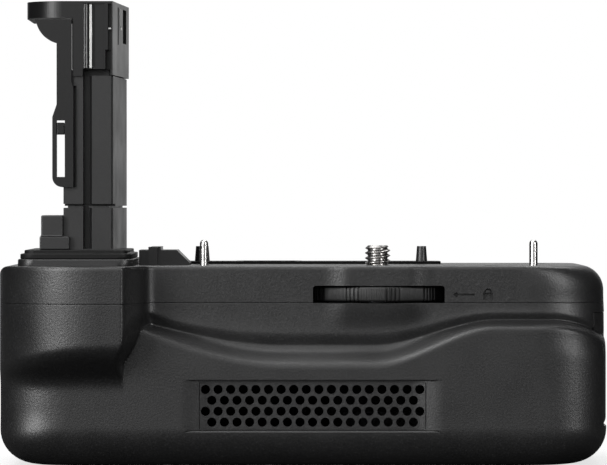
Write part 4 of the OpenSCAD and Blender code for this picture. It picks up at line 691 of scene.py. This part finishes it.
# %% Marks and window
MARK_Z = SEAM + 2.0
ARROW_TIP, ARROW_NECK, ARROW_END, ARROW_HEAD, ARROW_STEM = 36.2, 37.4, 41.6, 0.7, 0.25
LOCK_X0, LOCK_X1, LOCK_DOWN, LOCK_UP = 43.6, 46.0, 1.2, 0.5
SHACKLE_X, SHACKLE_Z, SHACKLE_R, SHACKLE_IN = 44.8, MARK_Z + 0.55, 0.95, 0.6
WINDOW_HALF, WINDOW_FLAT, WINDOW_H, WINDOW_R = 16, 15.3, 3.5, 0.7
arrow = [(ARROW_TIP, MARK_Z), (ARROW_NECK, MARK_Z - ARROW_HEAD), (ARROW_NECK, MARK_Z - ARROW_STEM),
         (ARROW_END, MARK_Z - ARROW_STEM), (ARROW_END, MARK_Z + ARROW_STEM),
         (ARROW_NECK, MARK_Z + ARROW_STEM), (ARROW_NECK, MARK_Z + ARROW_HEAD)]
lock_body = [(LOCK_X0, MARK_Z - LOCK_DOWN), (LOCK_X1, MARK_Z - LOCK_DOWN),
             (LOCK_X1, MARK_Z + LOCK_UP), (LOCK_X0, MARK_Z + LOCK_UP)]
arch = [math.pi * i / 16 for i in range(17)]
shackle = [(SHACKLE_X + r * math.cos(a), SHACKLE_Z + r * math.sin(a))
           for r, way_round in ((SHACKLE_R, arch), (SHACKLE_IN, arch[::-1])) for a in way_round]
bend = [math.pi / 2 * i / 6 for i in range(7)]
frame_line = [(SCREW_X - WINDOW_HALF, SEAM - OVER), (SCREW_X + WINDOW_HALF, SEAM - OVER)]
frame_line += [(SCREW_X + WINDOW_FLAT + WINDOW_R * math.cos(a), SEAM + WINDOW_H + WINDOW_R * math.sin(a))
               for a in bend]
frame_line += [(SCREW_X - WINDOW_FLAT - WINDOW_R * math.sin(a), SEAM + WINDOW_H + WINDOW_R * math.cos(a))
               for a in bend]
print("window %.1f mm wide" % (2 * WINDOW_HALF))

# %% Cut the upper moulding
HIGH_STEPS = (0, 0.3, 0.6, 0.8, 0.9, 0.96, 1)
GUIDE_PINS = [(-24.4, -9.0), (56.4, -9.0)]
TOP_SCREWS = [(46.1, -12.0), (59.1, 20.0)]
COLUMN_R, PIN_BOSS_R, PIN_STEM_R, TOP_HEAD_R, BUSH_R, ROOT = 2.8, 2.6, 1.4, 2.2, 5.02, 0.3
BOSS_POCKET, PLATE_POCKET = (-69.27, -41.03, -24.52, 20.02), (-34.07, 34.42, 9.48, 25.52)
BLOCK_POCKET = (-40.47, -27.93, -7.02, 8.52)
OUTLET, STALK_HOLLOW = (-15.1, -2.2, 12, 23), (-56.15, -47.75, -11.5, 10)
pocket, opening = (TOP - 0.3, TOP + OVER), (TOP - 5, TOP + OVER)
hollow = loft("hollow", [inner_ring(SEAM - OVER + (TOP - WALL - SEAM + OVER) * t) for t in HIGH_STEPS], CASE)
inside = tool(*[rod(x, y, COLUMN_R, SEAM, TOP - WALL + ROOT) for x, y in CASE_SCREWS],
              *[rod(x, y, PIN_BOSS_R, TOP - 5.6, TOP - WALL + ROOT) for x, y in GUIDE_PINS])
window = tool(prism(frame_line, -FRONT - 4, WALL + OVER - FRONT, "y"))
marks = tool(*[prism(mark, -FRONT - OVER, -FRONT + 0.6, "y") for mark in (arrow, lock_body, shackle)])
pockets = tool(slab(*BOSS_POCKET, *pocket, 4.02), slab(*PLATE_POCKET, *pocket, 3.02), box(*BLOCK_POCKET, *pocket))
through = tool(rod(SCREW_X, SCREW_Y, BUSH_R, *opening), box(*OUTLET, *opening), box(*STALK_HOLLOW, *opening),
               *[rod(x, y, PIN_STEM_R, TOP - 7, TOP + OVER) for x, y in GUIDE_PINS],
               *[rod(x, y, TOP_HEAD_R, TOP - 1.4, TOP + OVER) for x, y in TOP_SCREWS])
shape(upper_skin, [("DIFFERENCE", hollow), ("UNION", inside), ("DIFFERENCE", window), ("DIFFERENCE", marks),
                   ("DIFFERENCE", pockets), ("DIFFERENCE", through)])
print("upper moulding:", len(upper_skin.data.polygons), "faces after cutting")

# %% [markdown]
# ## Grille, screw columns and duct plate
# The grille is a plate with four staggered rows of round holes. Its solid is copied, the ends of the recess are
# continued on it as wedges, and the holes are drilled to their size in the photograph. The screw columns are a
# piece of their own in the inner black, darkened as painted shade because they stand behind the holes. The duct
# plate is made a little longer.

# %% Grille
HOLE_R, HOLE_STEP, ROWS, HOLES = 1.12, 3.05, 4, 18
ROW_STEP = HOLE_STEP * math.sin(math.radians(60))
WEDGE_END, WEDGE_Y = GRILLE_W / 2 - 0.02, PANEL_Y + RECESS + 0.4
grille = copy_of("intake_grille")
wedge = [(u, v) for u, v in curve if u < WEDGE_END] + [(WEDGE_END, WEDGE_Y), (FLOOR_HALF, WEDGE_Y)]
low, high = GRILLE_Z - GRILLE_H / 2 + 0.01, GRILLE_Z + GRILLE_H / 2 - 0.01
ends = tool(prism([(GRILLE_X + u, v) for u, v in wedge], low, high),
            prism([(GRILLE_X - u, v) for u, v in reversed(wedge)], low, high))
hole_at = [(GRILLE_X + (i - (HOLES - 1 - row % 2) / 2) * HOLE_STEP, GRILLE_Z + ((ROWS - 1) / 2 - row) * ROW_STEP)
           for row in range(ROWS) for i in range(HOLES - row % 2)]
holes = tool(*[rod(x, z, HOLE_R, PANEL_Y - OVER, PANEL_Y + 6, "y", 32) for x, z in hole_at])
shape(grille, [("UNION", ends), ("DIFFERENCE", holes)])
seat(grille, "intake_grille", 0.03)

# %% Screw columns and duct plate
PLATE_MORE = (20.0, 34.4, 9.5, 25.5, 48.51, 49.39)
columns = tool(*[rod(x, y, COLUMN_R, WALL - ROOT, SEAM) for x, y in CASE_SCREWS])
columns.name = "screw_columns"
# The columns are dark as painted shade, because they stand behind the grille holes
columns.data.materials[0] = INNER_BLACK_AND_SHADE
shape(columns, [("DIFFERENCE", tool(*head_rooms))])
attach(columns, "case")
plate = copy_of("duct_plate")
shape(plate, [("UNION", tool(slab(*PLATE_MORE, 3.0)))])
seat(plate, "duct_plate", 0.15)

# %% Seat the mouldings on the frame
for piece, node in ((lower_skin, "lower_case"), (upper_skin, "upper_case")):
    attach(piece, "case")
    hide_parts(node)

# %% [markdown]
# ## The attachment screw
# A quarter-inch camera screw has a pitch of 1.27 mm and flanks at sixty degrees. It is turned and then cut on a
# lathe, so the mesh is a grid over the angle and the height: plain steps for the shaft, and above the seat face
# a radius that follows the angle, one turn per pitch.

# %% Attachment screw
PITCH, CREST_R, ROOT_R, THREAD_START = 1.27, 3.13, 2.44, 0.74
FLANK_STEEP, FLANK_ROOT, TIP_SLOPE, TIP_H = 2.9, 0.30, 1.05, 0.7
THREAD_TOP, AROUND, PER_PITCH = 53.6, 128, 32
WHEEL_LOW, WHEEL_HIGH = 40.15, 43.7
SHAFT = [(37.6, 2.4), (39.25, 2.4), (39.25, 2.0), (39.95, 2.0), (39.95, 2.4), (WHEEL_LOW, 2.4), (WHEEL_LOW, 3.4),
         (WHEEL_HIGH, 3.4), (WHEEL_HIGH, 5.2), (45.0, 5.2), (45.0, 3.4), (TOP, 3.4)]
PIN_Z, PIN_R, PIN_HALF = (WHEEL_LOW + WHEEL_HIGH) / 2, 0.62, 6
turns = np.arange(AROUND) / AROUND


def lathe(name, rings, material, count):
    rows = len(rings)
    sides = [[j * count + i, j * count + (i + 1) % count, (j + 1) * count + (i + 1) % count, (j + 1) * count + i]
             for j in range(rows - 1) for i in range(count)]
    ends = [list(range(count))[::-1], [(rows - 1) * count + i for i in range(count)]]
    return mesh_of(name, np.concatenate(rings), sides + ends, material)


def thread_radius(z):
    phase = (z / PITCH - turns - THREAD_START) % 1.0
    ridge = unit((0.5 - np.abs(phase - 0.5)) * FLANK_STEEP - FLANK_ROOT)
    tip = CREST_R - TIP_SLOPE * max(0.0, z - THREAD_TOP + TIP_H)
    return np.minimum(mix(ROOT_R, CREST_R, ridge), tip)


def turned_ring(z, r):
    return np.stack([SCREW_X + r * np.cos(2 * np.pi * turns), SCREW_Y + r * np.sin(2 * np.pi * turns),
                     np.full(AROUND, z)], 1)


def pin_hole():
    return tool(rod(SCREW_Y, PIN_Z, PIN_R, SCREW_X - PIN_HALF, SCREW_X + PIN_HALF, "x"))


heights = np.append(np.arange(TOP, THREAD_TOP, PITCH / PER_PITCH), THREAD_TOP)
screw_rings = [turned_ring(z, r) for z, r in SHAFT] + [turned_ring(z, thread_radius(z)) for z in heights]
screw = lathe("screw", screw_rings, SCREW, AROUND)
shape(screw, [("DIFFERENCE", pin_hole())])
print("screw thread from %.1f to %.1f mm, %d faces" % (TOP, THREAD_TOP, len(screw.data.polygons)))

# %% [markdown]
# ## The lock wheel
# The rim is moulded with a fine knurl for the thumb, and every thirty degrees four deeper grooves interrupt it.
# The rim is a closed ring of points every quarter degree, repeated at the heights of the rounded edges. The
# wheel and the screw turn together, so both ride on the lock.

# %% Lock wheel
WHEEL_R, BORE_R, GROUP, GROUP_AT, POINT_STEP = 19.0, 3.42, 30.0, 10.3, 0.25
FINE_DEPTH, FINE_STEP, COARSE_DEPTH = 0.06, 1.2, 0.42
COARSE_AT = (-4.65, -1.55, 1.55, 4.65)
RIM_EDGE = [(0.0, 0.45), (0.12, 0.2), (0.3, 0.06), (0.55, 0.0)]
angles = np.arange(0, 360, POINT_STEP)
off = (angles - GROUP_AT + GROUP / 2) % GROUP - GROUP / 2
fine = FINE_DEPTH * (0.5 + 0.5 * np.cos(2 * np.pi * off / FINE_STEP)) * ease(6.2, 7.4, np.abs(off))
coarse = sum(COARSE_DEPTH * (1 - ease(0.45, 0.95, np.abs(off - at))) for at in COARSE_AT)
rim_r = WHEEL_R - fine - coarse


def wheel_ring(z, r):
    r = np.broadcast_to(r, angles.shape)
    a = np.radians(angles)
    return np.stack([SCREW_X + r * np.sin(a), SCREW_Y - r * np.cos(a), np.full(len(angles), z)], 1)


skin = [wheel_ring(WHEEL_LOW + up, rim_r - cut) for up, cut in RIM_EDGE]
skin += [wheel_ring(WHEEL_HIGH - up, rim_r - cut) for up, cut in reversed(RIM_EDGE)]
loop = [wheel_ring(WHEEL_LOW, BORE_R)] + skin + [wheel_ring(WHEEL_HIGH, BORE_R)]
n, rows = len(angles), len(loop)
faces = [[j * n + i, j * n + (i + 1) % n, (j + 1) % rows * n + (i + 1) % n, (j + 1) % rows * n + i]
         for j in range(rows) for i in range(n)]
wheel = mesh_of("thumb_wheel", np.concatenate(loop), faces, WHEEL)
shape(wheel, [("DIFFERENCE", pin_hole())])
for piece, node in ((screw, "attachment_screw"), (wheel, "lock_wheel")):
    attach(piece, "lock")
    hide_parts(node)
print("wheel rim of", n, "points,", len(wheel.data.polygons), "faces")

# %% [markdown]
# ## The head of the stalk
# The stalk plugs into the chamber of a camera, and its head carries contact blades in deep slots. The front of
# the head is a stack of narrow strips, so it is built new: a block with a rounded flange, from which the slots
# are cut. The right side leans, so its slots and blades are placed along that side.

# %% Stalk head
FACE_Y, HEAD_LOW, HEAD_HIGH = -19.0, 96.6, 113.1
SIDE_RUN, SIDE_L = (2.5, 34.0), 34.09
RIGHT_EDGE = np.array([-46.35, FACE_Y])
ALONG = np.array(SIDE_RUN) / math.hypot(*SIDE_RUN)
OUT = np.array([ALONG[1], -ALONG[0]])
FLANGE_X, FLANGE_Y, FLANGE_R, FLANGE_LOW = -58.15, -9.5, 9.5, 109.05
LEFT_SLOT, WIDE_SLOT = (-53.4, -51.05, -20, -17.3, 94, 112.5), (-50.95, -48.3, -20, -18.6, 97.0, 112.5)
RIGHT_SLOT, RIGHT_NOTCH = (-47.47, -46.62, -20, -17.0, 101.2, 112.5), (-48.1, -46.75, -20, -15.3, 94, 101.3)
LEFT_LIP = (-55.89, -53.6, -18.99, -16.5, 94.9, 97.2)


def side_plate(t0, t1, low, high, inner, outer):
    corners = ((t0, inner), (t0, outer), (t1, outer), (t1, inner))
    return prism([tuple(RIGHT_EDGE + ALONG * t + OUT * d) for t, d in corners], low, high)


block = [tuple(RIGHT_EDGE), tuple(RIGHT_EDGE + ALONG * SIDE_L), (-56.4, 15.0), (-56.4, -15.5), (-55.9, -15.5),
         (-55.9, FACE_Y)]
quarter = [math.pi * (1 + i / 48) for i in range(25)]
flange = [(FLANGE_X + FLANGE_R * math.cos(a), FLANGE_Y + FLANGE_R * math.sin(a)) for a in quarter]
flange += [(-55.6, FACE_Y), (-55.6, 15.0), (-67.65, 15.0)]
head = mesh_of("plug_head", *prism(block, HEAD_LOW, HEAD_HIGH), DARK, smooth=False)
slots = tool(box(*LEFT_SLOT), box(*WIDE_SLOT), box(*RIGHT_SLOT), side_plate(10.7, 12.5, 102.9, 112.1, -1.2, 0.5),
             side_plate(21.3, 28.5, 103.6, 112.0, -1.2, 0.5), box(*STALK_HOLLOW, 90, 109.1))
lips = tool(box(*LEFT_LIP), side_plate(0.02, 34.0, 95.2, 97.2, -1.1, -0.01))
shape(head, [("UNION", tool(prism(flange, FLANGE_LOW, HEAD_HIGH))), ("UNION", lips),
             ("DIFFERENCE", slots), ("DIFFERENCE", tool(box(*RIGHT_NOTCH)))])
seat(head, "contact_housing", 0.15)

# %% Contact blades
BLADE, CROSS_BAR = (-51.94, -51.36, -18.9, -17.32, 96.8, 112.3), (-47.4, -46.7, -18.7, -18.2, 106.25, 106.65)
EDGE_LEFT, EDGE_RIGHT = (-53.33, -53.05, -18.9, -17.32, 96.8, 112.4), (-52.82, -52.5, -18.8, -17.32, 96.8, 112.4)
blades = tool(box(*BLADE), box(*CROSS_BAR), side_plate(16.3, 18.1, 106.7, 107.4, -0.3, 0.15))
edges = tool(box(*EDGE_LEFT), box(*EDGE_RIGHT), side_plate(14.1, 20.2, 107.6, 111.8, -0.3, 0.08))
for piece, name, finish in ((blades, "bright_blades", CONTACT), (edges, "dull_blades", DULL)):
    piece.name = name
    piece.data.materials[0] = finish
seat(blades, "stalk_contacts", 0.05)
soften(edges, 0.05)
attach(edges, "case")

# %% [markdown]
# ## Column, pedestal and side moulding
# The column and the pedestal share a long groove and a thin line along the right corner, and the side moulding
# has a raised rib with a slot. They are moulded, so their solids are copied, cut with a few more slots and
# rounded at the edges. A small post is added in front of the locating block.

# %% Column, pedestal and side moulding
GROOVE_LINE = [(-53.55, -19.5), (-51.4, -19.5), (-51.4, -18.0), (-52.1, -16.8), (-52.1, -13.5), (-53.55, -13.5)]
CORNER_LINE = (-46.75, -46.1, -18.5, -17.2)
LEFT_LINE = (-55.85, -55.2, -19.5, -15.0, 67.9, 92.5)
NECK_SLOT, FOOT_SLOT = (-57.5, -45.5, -19.5, -12.2, 95.02, 96.7), (-60, -44, -19.5, -12.6, 63.0, 63.85)
RIB_X, RIB_Z, RIB_R = -58.55, 70.35, 2.43
RIB_SLOT, POST = (-59.95, -57.95, -20, -16, 70.4, 84.1), (-38.1, -35.9, -7.8, -6.0, 48.81, 53.29)
column = copy_of("stalk_column")
shape(column, [("DIFFERENCE", tool(prism(GROOVE_LINE, 62, 98), box(*LEFT_LINE), box(*CORNER_LINE, 62, 94.9))),
               ("DIFFERENCE", tool(box(*NECK_SLOT), box(*FOOT_SLOT)))])
seat(column, "stalk_column", 0.12)
pedestal = copy_of("stalk_pedestal")
shape(pedestal, [("DIFFERENCE", tool(prism(GROOVE_LINE, 52.9, 64), box(*CORNER_LINE, 52.9, 64)))])
seat(pedestal, "stalk_pedestal", 0.15)
rib_foot = [math.pi * (1 + i / 16) for i in range(9)]
rib = [(RIB_X + RIB_R * math.cos(a), RIB_Z + RIB_R * math.sin(a)) for a in rib_foot]
rib += [(-55.87, 67.92), (-55.87, 92.0), (-56.31, 93.44), (-56.68, 93.56), (-58.5, 92.1), (-60.44, 86.65),
        (-60.98, 84.95)]
holder = copy_of("door_holder")
shape(holder, [("UNION", tool(prism(rib, -19.35, -18.6, "y"))), ("DIFFERENCE", tool(box(*RIB_SLOT)))])
holder.data.materials[0] = DARK
nodes["holder_slider"].data.materials[0] = DARK
seat(holder, "door_holder", 0.12)
post = copy_of("locating_block")
shape(post, [("UNION", tool(box(*POST)))])
seat(post, "locating_block", 0.25)

# %% [markdown]
# ## Door and gasket
# The door lies flush in the rounded end. Its solid is copied and trimmed with a loft of the same form as the
# case, and its upper front corner is taken off where the doorway steps down. The gasket is a thin flat sheet
# of rubber around the air outlet.

# %% Door and gasket
FORM_GRAIN = 3
DOOR_CORNER = (60, 80, -20, STEP_Y, STEP_Z, 40)
GASKET = (-16.9, -0.4, 10.2, 24.8, 49.4, 49.47)
form = loft("form", [ring(row, FORM_GRAIN, inset) for row, inset in lower_rows], CASE)
door = copy_of("battery_door")
shape(door, [("INTERSECT", form), ("DIFFERENCE", tool(box(*DOOR_CORNER)))])
seat(door, "battery_door", 0.25, "door", flat=False)
gasket = mesh_of("flat_gasket", *slab(*GASKET, 2.0), RUBBER, smooth=False)
shape(gasket, [("DIFFERENCE", tool(box(*OUTLET, 49, 50)))])
seat(gasket, "duct_gasket")

# %% [markdown]
# ## Light
# The photograph has large soft lamps. The strongest stands at the front left and a narrow one at the right.
# Two wide screens fill the front, two lamps hang above the object, and two stand behind it for the rear and for
# the upper edges.

# %% Lamps
LAMPS = [
    ("front_screen", (-0.45, -1.60, 0.45), (0, 0, 0.03), (1.50, 0.90), 5.6),
    ("front_top", (-0.20, -0.85, 0.95), (0, 0, 0.03), (1.00, 0.50), 3.3),
    ("key_left", (-0.95, -1.05, 0.45), (-0.03, 0, 0.03), (0.50, 0.90), 19.0),
    ("key_high", (-0.50, -0.25, 0.93), (0, 0, 0.03), (0.25, 0.35), 4.5),
    ("strip_right", (0.90, -0.85, 0.40), (0.05, 0, 0.03), (0.25, 0.80), 8.0),
    ("overhead", (-0.05, -0.10, 0.90), (0, 0, 0.05), (0.80, 0.35), 2.8),
    ("rear_fill", (0.15, 0.90, 1.05), (0, 0, 0.04), (0.90, 0.50), 3.5),
    ("rim_back", (0.0, 0.40, 0.80), (0, 0, 0.05), (0.90, 0.35), 3.0),
]


def soft_lamp(name, place, aim, size, power):
    data = bpy.data.lights.new(name, "AREA")
    data.shape = "RECTANGLE"
    data.size, data.size_y = size
    data.energy = power
    lamp = bpy.data.objects.new(name, data)
    bpy.context.scene.collection.objects.link(lamp)
    lamp.location = place
    direction = [a - p for a, p in zip(aim, place)]
    lamp.rotation_euler = Vector(direction).to_track_quat("-Z", "Y").to_euler()


for lamp in LAMPS:
    soft_lamp(*lamp)
print(len(LAMPS), "lamps")

# %% [markdown]
# ## World and ground
# The photograph has a white ground. The world is white where the camera sees it and in reflections from behind
# the object, and almost dark elsewhere, so the lamps alone give the light. The floor keeps the shadow close to
# the object and turns to plain white further out.

# %% World
def join(tree, operation, first, second):
    node = tree.nodes.new("ShaderNodeMath")
    node.operation = operation
    tree.links.new(first, node.inputs[0])
    tree.links.new(second, node.inputs[1])
    return node.outputs[0]


def choose(tree, share, first, second):
    node = tree.nodes.new("ShaderNodeMixShader")
    tree.links.new(share, node.inputs["Fac"])
    tree.links.new(first, node.inputs[1])
    tree.links.new(second, node.inputs[2])
    return node.outputs[0]


world = bpy.data.worlds.new("studio")
bpy.context.scene.world = world
world.use_nodes = True
tree = world.node_tree
dusk = tree.nodes["Background"]
dusk.inputs["Color"].default_value = (0.9, 0.92, 0.95, 1)
dusk.inputs["Strength"].default_value = 0.015
white = tree.nodes.new("ShaderNodeBackground")
white.inputs["Color"].default_value = (1, 1, 1, 1)
white.inputs["Strength"].default_value = 1.0
path = tree.nodes.new("ShaderNodeLightPath")
ways = tree.nodes.new("ShaderNodeTexCoord")
split = tree.nodes.new("ShaderNodeSeparateXYZ")
tree.links.new(ways.outputs["Generated"], split.inputs[0])
rearward = spread(tree, split.outputs["Y"], 0.0, 1.0, 0.85, 1.0)
mirrored = join(tree, "MULTIPLY", path.outputs["Is Glossy Ray"], rearward)
direct = join(tree, "MAXIMUM", path.outputs["Is Camera Ray"], path.outputs["Is Transmission Ray"])
seen = join(tree, "MAXIMUM", mirrored, direct)
sky = choose(tree, seen, dusk.outputs[0], white.outputs[0])
tree.links.new(sky, tree.nodes["World Output"].inputs["Surface"])

# %% Floor
FLOOR_MM = 1500
floor_material, tree, paint, place = new_material("floor_pale")
paint.inputs["Base Color"].default_value = (0.82, 0.82, 0.82, 1)
paint.inputs["Roughness"].default_value = 0.9
glow = tree.nodes.new("ShaderNodeEmission")
dim = tree.nodes.new("ShaderNodeBsdfDiffuse")
dim.inputs["Color"].default_value = (0.05, 0.05, 0.05, 1)
away = tree.nodes.new("ShaderNodeVectorMath")
away.operation = "LENGTH"
tree.links.new(place, away.inputs[0])
far = spread(tree, away.outputs["Value"], 0.7, 1.0, 0.05, 0.40)
lit = choose(tree, far, paint.outputs[0], glow.outputs[0])
path = tree.nodes.new("ShaderNodeLightPath")
ground = choose(tree, path.outputs["Is Camera Ray"], dim.outputs[0], lit)
tree.links.new(ground, tree.nodes["Material Output"].inputs["Surface"])
corners = [(FLOOR_MM * u, FLOOR_MM * v, 0) for u, v in ((-1, -1), (1, -1), (1, 1), (-1, 1))]
floor = mesh_of("floor", corners, [[0, 1, 2, 3]], floor_material, smooth=False)
floor.location.z = -0.0002
print("floor of", 2 * FLOOR_MM, "mm")
